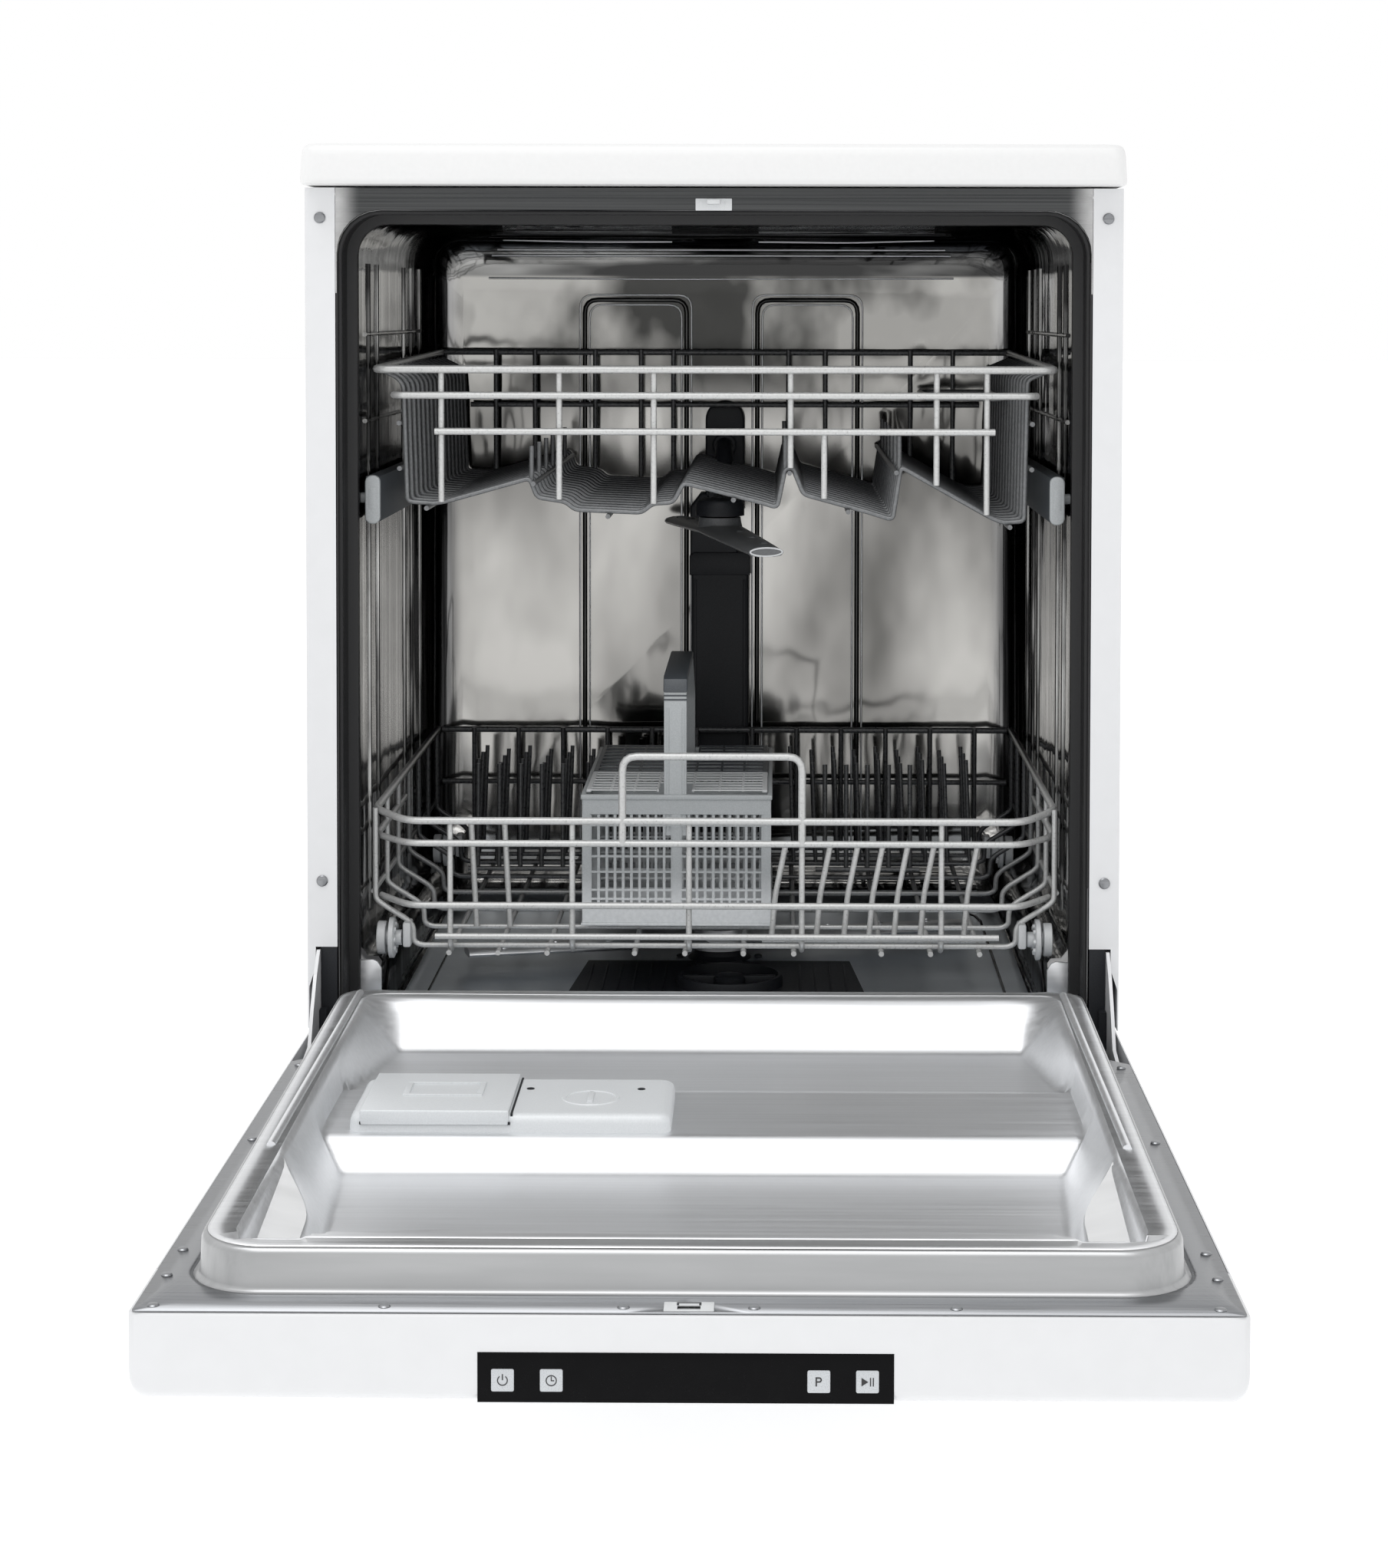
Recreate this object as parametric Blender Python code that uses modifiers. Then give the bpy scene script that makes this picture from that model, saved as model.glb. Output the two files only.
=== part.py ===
"""A 60 cm dishwasher with its own worktop, modelled with the door open and both racks home.

Lengths in this file are millimetres and are turned into metres as each object is made. +X is to the
user's right, +Y goes into the machine, +Z is up. Depths are counted from the front face of the cabinet
posts, and on the open door from the hinge axis: reach is how far out along the door, rise is how far
above the flange of its inner liner.
"""

import math

import bmesh
import bpy
from mathutils import Matrix, Vector

MM = 0.001
GAP = 0.3

# Overall sizes
WIDTH = 598.0
HEIGHT = 845.0
CABINET_DEPTH = 550.0
DOOR_TIP = 622.4
POST_Y = (DOOR_TIP - CABINET_DEPTH) / 2

# Cabinet
WORKTOP_THICK = 30.0
WORKTOP_OVERHANG = 29.0
SHEET = 1.0
POST_INNER = 277.0
PANEL_TOP = HEIGHT - WORKTOP_THICK - 1.0
FOOT_HEIGHT = 13.0
FOOT_DEPTHS = (45.0, 510.0)
BASE_TOP = 116.0
NOTCH_DEPTH = 72.0
NOTCH_TOP = 194.5
POST_FOOT = 255.0

# Tub
TUB_HALF = 268.0
MOUTH_HALF = 275.5
MOUTH_FLOOR = 195.0
MOUTH_TOP = 797.5
MOUTH_DEPTH = 20.0
TUB_TOP = 795.0
TUB_FLOOR = 190.0
TUB_BACK = 523.0
TUB_RADIUS = 30.0
LEDGE_HALF = 247.5
LEDGE_TOP = 236.0
LEDGE_START = 50.0
SUMP_CENTRE = (10.0, 165.0)
SPRAY_DEPTH = 268.0

# Door, about its hinge axis
HINGE_DEPTH = -2.0
HINGE_HEIGHT = 192.0
DOOR_THICK = 48.6
DOOR_FOOT = -50.0
PANEL_END = 544.0
DOOR_END = 620.0
RIM_HALF = 267.5
RIM_RISE_FAR = 40.0
RIM_RISE_NEAR = 26.0
RIM_FAR = 12.0
RIM_NEAR = 589.0
ARM_FACE = 289.5
BUTTONS = {"power": -99.0, "delay": -73.0, "program": 69.4, "start": 95.3}
BUTTON_SIDE = 12.5
BUTTON_RISE = -36.4
DISPLAY = (-113.0, 110.0)

# Racks
RACK_FRONT = 46.0
RACK_BACK = 497.0
WIRE = 2.2
RAIL_WIRE = 2.7
RACK_STEPS = [62.0, 145.0, 230.0, 315.0, 400.0, 480.0]
WHEEL_RADIUS = 12.5
WHEEL_HEIGHT = 249.0
WHEEL_DEPTHS = {"front": 63.0, "back": 440.0}
UPPER_RIM = 680.5
RAIL_HEIGHT = 583.0
ROLLER_RADIUS = 13.4
ROLLER_DEPTH = 66.0
BASKET = (-104.0, 44.0, 96.0, 352.0, 251.0, 353.0)
LID_HINGE = (197.0, 356.2)

UPPER_FLOOR = [(-232, 584), (-226, 580), (-205, 581), (-141, 598), (-133, 584), (-114, 581), (-103, 574),
               (-53, 573), (-46, 580), (-30, 581), (-23, 593), (44, 578), (53, 606), (60, 606), (67, 586),
               (133, 569), (139, 608), (197, 576), (212, 568), (230, 567)]
UPPER_SIDE = [(254, 681), (240, 671), (236, 664), (236, 580)]
LOWER_FLOOR = [(-222, 243), (222, 243)]
LOWER_SIDE = [(257, 345), (257, 275), (233, 264), (228, 243)]

WHITE = ((0.86, 0.87, 0.87), 0.35, 0.0)
STEEL = ((0.62, 0.63, 0.64), 0.22, 1.0)
SILVER = ((0.63, 0.64, 0.65), 0.38, 1.0)
BLACK = ((0.02, 0.02, 0.022), 0.5, 0.0)
GLOSS = ((0.006, 0.006, 0.007), 0.08, 0.0)
GREY = ((0.5, 0.53, 0.55), 0.45, 0.0)
DARK = ((0.055, 0.06, 0.065), 0.45, 0.0)
COATED = ((0.55, 0.56, 0.56), 0.4, 0.0)
IRON = ((0.1, 0.1, 0.1), 0.7, 1.0)


def clear_scene():
    for item in list(bpy.data.objects):
        bpy.data.objects.remove(item, do_unlink=True)


def new_collection(name):
    made = bpy.data.collections.new(name)
    bpy.context.scene.collection.children.link(made)
    return made


def material(name, look):
    colour, roughness, metallic = look
    made = bpy.data.materials.get(name) or bpy.data.materials.new(name)
    made.use_nodes = True
    shader = made.node_tree.nodes["Principled BSDF"]
    shader.inputs["Base Color"].default_value = (*colour, 1.0)
    shader.inputs["Roughness"].default_value = roughness
    shader.inputs["Metallic"].default_value = metallic
    return made


def at(x, depth, height):
    """A point in metres from x, depth behind the posts and height, in millimetres."""
    return Vector((x, depth + POST_Y, height)) * MM


def on_door(x, reach, rise):
    return at(x, HINGE_DEPTH - reach, HINGE_HEIGHT + rise)


def bake(item):
    """Replace an object by the mesh it evaluates to, with its modifiers and transform applied."""
    bpy.context.view_layer.update()
    seen = item.evaluated_get(bpy.context.evaluated_depsgraph_get())
    mesh = bpy.data.meshes.new_from_object(seen)
    mesh.transform(item.matrix_world)
    work = bmesh.new()
    work.from_mesh(mesh)
    bmesh.ops.remove_doubles(work, verts=work.verts, dist=1e-6)
    bmesh.ops.recalc_face_normals(work, faces=work.faces)
    work.to_mesh(mesh)
    work.free()
    name = item.name
    bpy.data.objects.remove(item, do_unlink=True)
    made = bpy.data.objects.new(name, mesh)
    HELPERS.objects.link(made)
    return made


def block(x0, x1, d0, d1, z0, z1, bevel=0.0):
    """A box between two corners, in cabinet millimetres."""
    bpy.ops.mesh.primitive_cube_add(size=1.0, location=at((x0 + x1) / 2, (d0 + d1) / 2, (z0 + z1) / 2))
    made = bpy.context.object
    made.scale = ((x1 - x0) * MM, (d1 - d0) * MM, (z1 - z0) * MM)
    if bevel:
        bpy.ops.object.transform_apply(location=False, rotation=False, scale=True)
        edge = made.modifiers.new("Bevel", "BEVEL")
        edge.width = bevel * MM
        edge.segments = 2
    return bake(made)


def door_block(x0, x1, r0, r1, t0, t1):
    """A box on the open door, from reach r0 to r1 and rise t0 to t1."""
    return block(x0, x1, HINGE_DEPTH - r1, HINGE_DEPTH - r0, HINGE_HEIGHT + t0, HINGE_HEIGHT + t1)


def cylinder(centre, radius, length, axis="Z", sides=24):
    turn = {"X": (0, math.pi / 2, 0), "Y": (math.pi / 2, 0, 0), "Z": (0, 0, 0)}[axis]
    bpy.ops.mesh.primitive_cylinder_add(vertices=sides, radius=radius * MM, depth=length * MM,
                                        location=at(*centre), rotation=turn)
    return bake(bpy.context.object)


def turned(centre, profile, sides=24):
    """A turned shape about a vertical axis, from (radius, height) points listed top to bottom."""
    mesh = bpy.data.meshes.new("profile")
    points = [(radius * MM, 0.0, height * MM) for radius, height in profile]
    mesh.from_pydata(points, [(i, i + 1) for i in range(len(points) - 1)], [])
    made = bpy.data.objects.new("profile", mesh)
    HELPERS.objects.link(made)
    made.location = at(centre[0], centre[1], 0.0)
    screw = made.modifiers.new("Screw", "SCREW")
    screw.steps = screw.render_steps = sides
    screw.use_merge_vertices = True
    screw.merge_threshold = 0.0001
    return bake(made)


def outline_plate(points, thickness, frame):
    """A flat outline with a thickness, set in place by a matrix."""
    curve = bpy.data.curves.new("outline", "CURVE")
    curve.dimensions = "2D"
    curve.fill_mode = "BOTH"
    curve.extrude = thickness * MM / 2
    spline = curve.splines.new("POLY")
    spline.points.add(len(points) - 1)
    for point, (u, v) in zip(spline.points, points):
        point.co = (u * MM, v * MM, 0.0, 1.0)
    spline.use_cyclic_u = True
    made = bpy.data.objects.new("outline", curve)
    HELPERS.objects.link(made)
    made.matrix_world = frame
    return bake(made)


def wall_plate(points, depth0, depth1):
    """An outline in X and height, from one depth to another."""
    frame = Matrix.Translation(at(0, (depth0 + depth1) / 2, 0)) @ Matrix.Rotation(math.pi / 2, 4, "X")
    return outline_plate(points, depth1 - depth0, frame)


def side_plate(points, x0, x1):
    """An outline in depth and height, from one x to another."""
    frame = Matrix(((0, 0, 1, (x0 + x1) / 2 * MM), (1, 0, 0, POST_Y * MM), (0, 1, 0, 0), (0, 0, 0, 1)))
    return outline_plate(points, x1 - x0, frame)


def floor_plate(points, z0, z1):
    """An outline in X and depth, from one height to another."""
    return outline_plate(points, z1 - z0, Matrix.Translation(at(0, 0, (z0 + z1) / 2)))


def wire(points, radius=WIRE, closed=False):
    """A bent wire through points given as x, depth, height."""
    curve = bpy.data.curves.new("wire", "CURVE")
    curve.dimensions = "3D"
    curve.bevel_depth = radius * MM
    curve.bevel_resolution = 1
    curve.use_fill_caps = True
    spline = curve.splines.new("POLY")
    spline.points.add(len(points) - 1)
    for point, place in zip(spline.points, points):
        point.co = (*at(*place), 1.0)
    spline.use_cyclic_u = closed
    made = bpy.data.objects.new("wire", curve)
    HELPERS.objects.link(made)
    return bake(made)


def boolean(base, others, operation):
    group = bpy.data.collections.new("operands")
    for other in others:
        group.objects.link(other)
    join = base.modifiers.new("Boolean", "BOOLEAN")
    join.operation = operation
    join.solver = "EXACT"
    join.operand_type = "COLLECTION"
    join.collection = group
    made = bake(base)
    for other in others:
        bpy.data.objects.remove(other, do_unlink=True)
    bpy.data.collections.remove(group)
    return made


def fuse(first, *others):
    return boolean(first, others, "UNION")


def cut(base, *cutters):
    return boolean(base, cutters, "DIFFERENCE")


def node(name, item, look, joint=None):
    """Make a baked mesh a named sub-part, with its own material, riding on its joint's empty."""
    item.name = name
    item.data.name = name
    HELPERS.objects.unlink(item)
    PARTS.objects.link(item)
    item.data.materials.clear()
    item.data.materials.append(material(name, look))
    item.data.shade_smooth()
    item.data.set_sharp_from_angle(angle=math.radians(35))
    if joint:
        item.parent = joint
        item.matrix_parent_inverse = joint.matrix_world.inverted()
    return item


def joint_empty(name, place, parent=None):
    made = bpy.data.objects.new(name, None)
    PARTS.objects.link(made)
    made.location = place
    made.empty_display_size = 0.03
    bpy.context.view_layer.update()
    if parent:
        made.parent = parent
        made.matrix_parent_inverse = parent.matrix_world.inverted()
        bpy.context.view_layer.update()
    return made


def arc(centre_x, centre_z, radius, start, steps=4):
    """A quarter turn counted anticlockwise from a start angle in degrees."""
    angles = [math.radians(start + 90 * i / steps) for i in range(steps + 1)]
    return [(centre_x + radius * math.cos(a), centre_z + radius * math.sin(a)) for a in angles]


def rounded(half, low, high, radius, grow=0.0):
    """A rounded upright rectangle about x = 0, grown outwards by a wall thickness."""
    half, low, high, radius = half + grow, low - grow, high + grow, radius + grow
    return (arc(half - radius, low + radius, radius, 270) + arc(half - radius, high - radius, radius, 0)
            + arc(-half + radius, high - radius, radius, 90)
            + arc(-half + radius, low + radius, radius, 180))


def ledged(grow=0.0):
    """The section of the tub: rounded above, with a ledge for the rack wheels down each side."""
    half, top = TUB_HALF + grow, TUB_TOP + grow
    inner, ledge, floor = LEDGE_HALF + grow, LEDGE_TOP - grow, TUB_FLOOR - grow
    radius = TUB_RADIUS + grow
    return ([(inner - 8, floor), (inner, floor + 8), (inner, ledge), (half, ledge)]
            + arc(half - radius, top - radius, radius, 0) + arc(-half + radius, top - radius, radius, 90)
            + [(-half, ledge), (-inner, ledge), (-inner, floor + 8), (-inner + 8, floor)])


def mirrored(points):
    return [(-x, *rest) for x, *rest in reversed(points)]


# Cabinet

def make_worktop():
    slab = block(-WIDTH / 2, WIDTH / 2, -WORKTOP_OVERHANG, CABINET_DEPTH,
                 HEIGHT - WORKTOP_THICK, HEIGHT, bevel=3.0)
    node("worktop", slab, WHITE)


def make_side_panel(side, sign):
    outer = sign * WIDTH / 2
    low, high = sorted((outer, outer - sign * SHEET))
    skin = block(low, high, 0.0, 548.0, 13.5, PANEL_TOP)
    post = [(299, 222), (299, PANEL_TOP), (POST_INNER, PANEL_TOP), (POST_INNER, POST_FOOT),
            (293, POST_FOOT), (293, 240)]
    post = post if sign > 0 else mirrored([(x, z) for x, z in post])
    fold = wall_plate(post, 0.0, SHEET)
    notch = block(low - 5, high + 5, -5.0, NOTCH_DEPTH, BASE_TOP + 2, NOTCH_TOP)
    node(f"side_panel_{side}", cut(fuse(skin, fold), notch), WHITE)


def make_cabinet():
    make_worktop()
    for side, sign in (("left", -1), ("right", 1)):
        make_side_panel(side, sign)
    node("back_panel", block(-296.5, 296.5, 548.3, 549.7, 60.0, PANEL_TOP), STEEL)
    tray = cut(block(-297.5, 297.5, 14.0, 546.0, FOOT_HEIGHT + 1, BASE_TOP),
               block(-294.0, 294.0, 18.0, 542.0, FOOT_HEIGHT + 4.5, BASE_TOP + 5))
    feet = [turned((x, depth), [(0, FOOT_HEIGHT + 2), (8, FOOT_HEIGHT + 2), (8, 8), (20, 6), (22, 0), (0, 0)])
            for x in (-265.0, 265.0) for depth in FOOT_DEPTHS]
    node("base_tray", fuse(tray, *feet), BLACK)
    node("kick_plate", block(-296.5, 296.5, 8.0, 11.0, 15.0, BASE_TOP - 2), WHITE)
    node("counterweight", block(-200.0, 200.0, 440.0, 536.0, 17.8, 80.0, bevel=4.0), IRON)


def make_hinge_bracket(side, sign):
    low, high = sorted((sign * 289.2, sign * POST_INNER + sign * GAP))
    cheek = block(low, high, 1.3, 30.0, 196.0, POST_FOOT - GAP)
    low, high = sorted((sign * 289.2, sign * 284.0))
    ear = block(low, high, -9.0, 14.0, 183.0, 210.0)
    pin = cylinder((sign * 288.5, HINGE_DEPTH, HINGE_HEIGHT), 5.0, 10.0, "X", 16)
    node(f"hinge_bracket_{side}", fuse(cheek, ear, pin), BLACK)


# Tub and its fittings

def make_tub():
    wall = SHEET
    shell = fuse(wall_plate(ledged(wall), LEDGE_START - wall, TUB_BACK + wall),
                 wall_plate(rounded(TUB_HALF, MOUTH_FLOOR, TUB_TOP, TUB_RADIUS, wall), MOUTH_DEPTH - wall,
                            LEDGE_START + 2),
                 wall_plate(rounded(MOUTH_HALF, MOUTH_FLOOR, MOUTH_TOP, 32, wall), 0.5, MOUTH_DEPTH + wall),
                 block(-POST_INNER + GAP, POST_INNER - GAP, 0.2, 1.2, MOUTH_TOP - 60, PANEL_TOP))
    space = fuse(wall_plate(ledged(), LEDGE_START, TUB_BACK),
                 wall_plate(rounded(TUB_HALF, MOUTH_FLOOR, TUB_TOP, TUB_RADIUS), MOUTH_DEPTH - 1,
                            LEDGE_START + 1),
                 wall_plate(rounded(MOUTH_HALF, MOUTH_FLOOR, MOUTH_TOP, 32), -5.0, MOUTH_DEPTH))
    drain = cylinder((*SUMP_CENTRE, TUB_FLOOR), 46.0, 20.0, sides=20)
    node("tub", cut(shell, space, drain), STEEL)


def make_seal():
    outer = wall_plate(rounded(MOUTH_HALF, MOUTH_FLOOR, MOUTH_TOP, 32, -GAP), 3.0, 14.0)
    inner = wall_plate(rounded(270.0, MOUTH_FLOOR - 20, MOUTH_TOP - 5.5, 27), 0.0, 20.0)
    foot = block(-300, 300, 0.0, 20.0, MOUTH_FLOOR - 10, MOUTH_FLOOR + 26)
    node("tub_seal", cut(outer, inner, foot), BLACK)


def make_strike():
    base = block(-13.5, 13.5, -1.2, -0.1, 797.5, 806.5)
    hook = block(-5.0, 5.0, -14.0, -0.6, 801.8, 805.6)
    node("door_strike", fuse(base, hook), WHITE)


def make_sump():
    x, depth = SUMP_CENTRE
    cup = turned(SUMP_CENTRE, [(0, 132), (52, 132), (52, 188.5), (60, 188.5), (60, 128), (0, 128)][::-1])
    node("sump", cup, BLACK)
    plate = floor_plate([(-122, 70), (122, 70), (108, 252), (-108, 252)], TUB_FLOOR + GAP, TUB_FLOOR + 1.8)
    hub = turned((0, SPRAY_DEPTH), [(0, 199.0), (19, 199.0), (21, 194), (24, TUB_FLOOR + GAP), (0, TUB_FLOOR + GAP)])
    node("filter_plate", fuse(cut(plate, cylinder((x, depth, TUB_FLOOR), 43.5, 20.0)), hub), BLACK)


def make_filter_cup(joint):
    wall = turned(SUMP_CENTRE, [(0, 150), (42, 150), (42, 200), (38, 200), (38, 154), (0, 154)])
    x, depth = SUMP_CENTRE
    grip = block(x - 40, x + 40, depth - 2.5, depth + 2.5, 186.0, 199.0)
    node("filter_cup", fuse(wall, grip), DARK, joint)


def make_spray_supply():
    column = fuse(block(-30.5, 30.5, 505.0, TUB_BACK - GAP, 191.0, 510.0, bevel=3.0),
                  wall_plate(rounded(18.0, 500.0, 644.0, 17.5), 506.0, TUB_BACK - 1),
                  cylinder((0, 502.0, 604.0), 11.0, 12.0, "Y", 16))
    node("rear_feed_duct", column, DARK)
    pump = fuse(cylinder((-110.0, 300.0, 70.0), 45.0, 110.0, "X"),
                cylinder((-40.0, 300.0, 70.0), 32.0, 60.0, "X"),
                cylinder((-32.0, 300.0, 100.0), 14.0, 40.0, "Z", 16))
    node("circulation_pump", pump, GREY)


def spray_arm(depth, height, half_length, heading, hub):
    """A two-bladed arm that tapers to its tips, with a round hub."""
    blade = floor_plate([(-half_length, -9), (-half_length + 12, -17), (-40, -22), (40, -22),
                         (half_length - 12, -17), (half_length, -9), (half_length, 9),
                         (half_length - 12, 17), (40, 22), (-40, 22), (-half_length + 12, 17),
                         (-half_length, 9)], height, height + 8)
    pivot = Matrix.Translation(at(0, depth, 0))
    home = Matrix.Translation(at(0, 0, 0))
    blade.data.transform(pivot @ Matrix.Rotation(math.radians(heading), 4, "Z") @ home.inverted())
    return fuse(blade, turned((0, depth), hub))


# Racks

def rack_rods(places):
    """Straight rods from front to back, below or beside the cross wires they are welded to."""
    return [wire([(x, RACK_FRONT + 7, z), (x, RACK_BACK - 7, z)]) for x, z in places]


def make_grid(name, profile, rods, joint):
    """Bent wires at regular depths, with straight rods along them."""
    bent = [wire([(x, depth, z) for x, z in profile]) for depth in RACK_STEPS]
    node(name, fuse(*bent, *rack_rods(rods)), COATED, joint)


def make_sides(name, profile, rods, joint):
    for side, sign in (("left", -1), ("right", 1)):
        make_grid(f"{name}_{side}", [(sign * x, z) for x, z in profile], [(sign * x, z) for x, z in rods], joint)


def make_upper_rack(joint):
    make_grid("upper_rack_floor", UPPER_FLOOR,
              [(-216, 577.6), (-80, 570.6), (14, 581.5), (100, 574.2), (221, 564.6)], joint)
    make_sides("upper_rack_side", UPPER_SIDE, [(252.5, 677.2), (238.5, 640), (238.5, 606)], joint)
    depth = RACK_FRONT
    front = [wire([(-253, depth, UPPER_RIM), (253, depth, UPPER_RIM)], RAIL_WIRE),
             wire([(-235, depth, 661), (235, depth, 661)], RAIL_WIRE),
             wire([(-210, depth, 634), (210, depth, 634)], RAIL_WIRE)]
    front += [wire([(x, depth + 3, 684), (x, depth + 3, 584)]) for x in (-205, -117, -46, 57, 166, 204)]
    node("upper_rack_front", fuse(*front), COATED, joint)
    depth = RACK_BACK
    back = [wire([(-253, depth, 687), (253, depth, 687)], RAIL_WIRE),
            wire([(-228, depth, 640), (228, depth, 640)])]
    back += [wire([(x, depth - 3, 690), (x, depth - 3, 600)]) for x in (-200, -110, -60, 60, 110, 200)]
    node("upper_rack_back", fuse(*back), COATED, joint)


def make_upper_rail(side, sign, joint):
    low, high = sorted((sign * 262.0, sign * 251.0))
    body = block(low, high, RACK_FRONT + 3, 496.0, 566.0, 600.0)
    low, high = sorted((sign * 264.0, sign * 254.0))
    groove = block(low, high, RACK_FRONT + 2, 500.0, 569.3, 596.7)
    low, high = sorted((sign * 262.0, sign * 250.5))
    cap = block(low, high, RACK_FRONT - 1, RACK_FRONT + 4, 564.5, 601.0)
    node(f"upper_rail_{side}", fuse(cut(body, groove), cap), GREY, joint)


def make_roller(side, sign, joint):
    tread = cylinder((sign * 258.0, ROLLER_DEPTH, RAIL_HEIGHT), ROLLER_RADIUS, 6.8, "X")
    axle = cylinder((sign * 263.6, ROLLER_DEPTH, RAIL_HEIGHT), 4.0, 8.0, "X", 12)
    node(f"rail_roller_{side}", fuse(tread, axle), GREY, joint)


def make_feed_pipe(joint):
    run = wire([(0, 493.0, 604.0), (0, 472.0, 603.0), (0, 452.0, 564.0), (0, 270.0, 564.0)], 8.0)
    boss = turned((0, SPRAY_DEPTH), [(0, 571), (20, 571), (20, 555.5), (0, 555.5)])
    node("upper_spray_feed", fuse(run, boss), DARK, joint)


def make_cup_shelf(joint):
    depth0, depth1 = 210.0, 400.0
    frame = wire([(229, depth0, 655), (168, depth0, 655), (168, depth1, 655), (229, depth1, 655)], 2.0,
                 closed=True)
    bars = [wire([(229, d, 652.6), (166, d, 652.6)], 2.0) for d in (258.0, 305.0, 352.0)]
    node("cup_shelf", fuse(frame, *bars), COATED, joint)


def make_lower_rack(joint):
    make_grid("lower_rack_floor", LOWER_FLOOR, [(-200, 240.4), (-60, 240.4), (60, 240.4), (200, 240.4)], joint)
    make_sides("lower_rack_side", LOWER_SIDE, [(259.5, 341), (259.5, 283)], joint)
    depth = RACK_FRONT
    front = [wire([(-253, depth, z), (253, depth, z)], RAIL_WIRE) for z in (341, 324, 277)]
    front.append(wire([(-210, depth, 250), (210, depth, 250)], RAIL_WIRE))
    front += [wire([(x, depth + 3, 345), (x, depth + 3, 241)]) for x in (-199, -107, -19, 66, 171)]
    node("lower_rack_front", fuse(*front), COATED, joint)
    pull = wire([(-69, depth, 345), (-69, depth, 384), (-61, depth, 392), (61, depth, 392),
                 (69, depth, 384), (69, depth, 345)], RAIL_WIRE)
    node("lower_rack_pull", pull, COATED, joint)
    depth = RACK_BACK
    back = [wire([(-255, depth, z), (255, depth, z)], RAIL_WIRE) for z in (347, 300)]
    back += [wire([(x, depth - 3, 350), (x, depth - 3, 247)]) for x in (-200, -120, -40, 40, 120, 200)]
    node("lower_rack_back", fuse(*back), COATED, joint)


def make_wheel(end, side, sign, joint):
    depth = WHEEL_DEPTHS[end]
    tread = cylinder((sign * 252.0, depth, WHEEL_HEIGHT), WHEEL_RADIUS, 7.0, "X")
    disc = cylinder((sign * 244.0, depth, WHEEL_HEIGHT), 15.5, 4.0, "X")
    hub = cylinder((sign * 243.0, depth, WHEEL_HEIGHT), 6.0, 14.0, "X", 12)
    node(f"rack_wheel_{end}_{side}", fuse(tread, disc, hub), GREY, joint)


def make_tine_row(side, first, joint):
    depth, height = 330.0, 252.0
    rod = wire([(first - 8, depth, height), (first + 36 * 2 + 8, depth, height)], 2.0)
    tines = [wire([(first + 36 * i, depth + 2.2, height - 2), (first + 36 * i, depth + 8, height + 88)], 2.0)
             for i in range(3)]
    node(f"tine_row_{side}", fuse(rod, *tines), COATED, joint)


def make_cutlery_basket(joint, front_lid, back_lid):
    x0, x1, d0, d1, z0, z1 = BASKET
    body = cut(block(x0, x1, d0, d1, z0, z1), block(x0 + 2, x1 - 2, d0 + 2, d1 - 2, z0 + 2, z1 + 5))
    node("cutlery_basket", body, GREY, joint)
    foot, top, near, far, bend = z0 + 70, 452.0, d0 + 2.5, d1 - 2.5, 16.0
    outside = [(near, foot), (near, top - bend), (near + bend, top), (far - bend, top),
               (far, top - bend), (far, foot)]
    inside = [(far - 4, foot), (far - 4, top - bend - 2), (far - bend - 2, top - 4),
              (near + bend + 2, top - 4), (near + 4, top - bend - 2), (near + 4, foot)]
    node("basket_handle", side_plate(outside + inside, -40.0, -22.0), GREY, joint)
    z0, z1 = BASKET[5] + GAP, BASKET[5] + 2.6
    hinge = LID_HINGE[0]
    for name, low, high, slot, lid_joint in (("basket_lid_front", d0 + 8, hinge - 1, (d0, d0 + 44), front_lid),
                                             ("basket_lid_back", hinge + 1, d1 - 8, (d1 - 74, d1), back_lid)):
        lid = block(x0 + 4, x1 - 4, low, high, z0, z1)
        slots = [block(x, x + 9, low + 8 + 24 * i, low + 22 + 24 * i, z0 - 2, z1 + 2)
                 for x in (-96, -82, -68, -14, 0, 14, 26) for i in range(3)]
        notch = block(-43.0, -19.0, slot[0], slot[1], z0 - 2, z1 + 2)
        node(name, cut(lid, notch, *slots), DARK, lid_joint)


# Door

def rim_rise(reach):
    share = (reach - RIM_FAR) / (RIM_NEAR - RIM_FAR)
    return RIM_RISE_FAR + (RIM_RISE_NEAR - RIM_RISE_FAR) * share


def liner_ring(half, far, near, radius, rise):
    """One closed ring of the pressed liner, at a rise or following the rim."""
    places = rounded(half, far, near, radius)
    return [on_door(x, reach, rim_rise(reach) if rise is None else rise) for x, reach in places]


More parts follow.
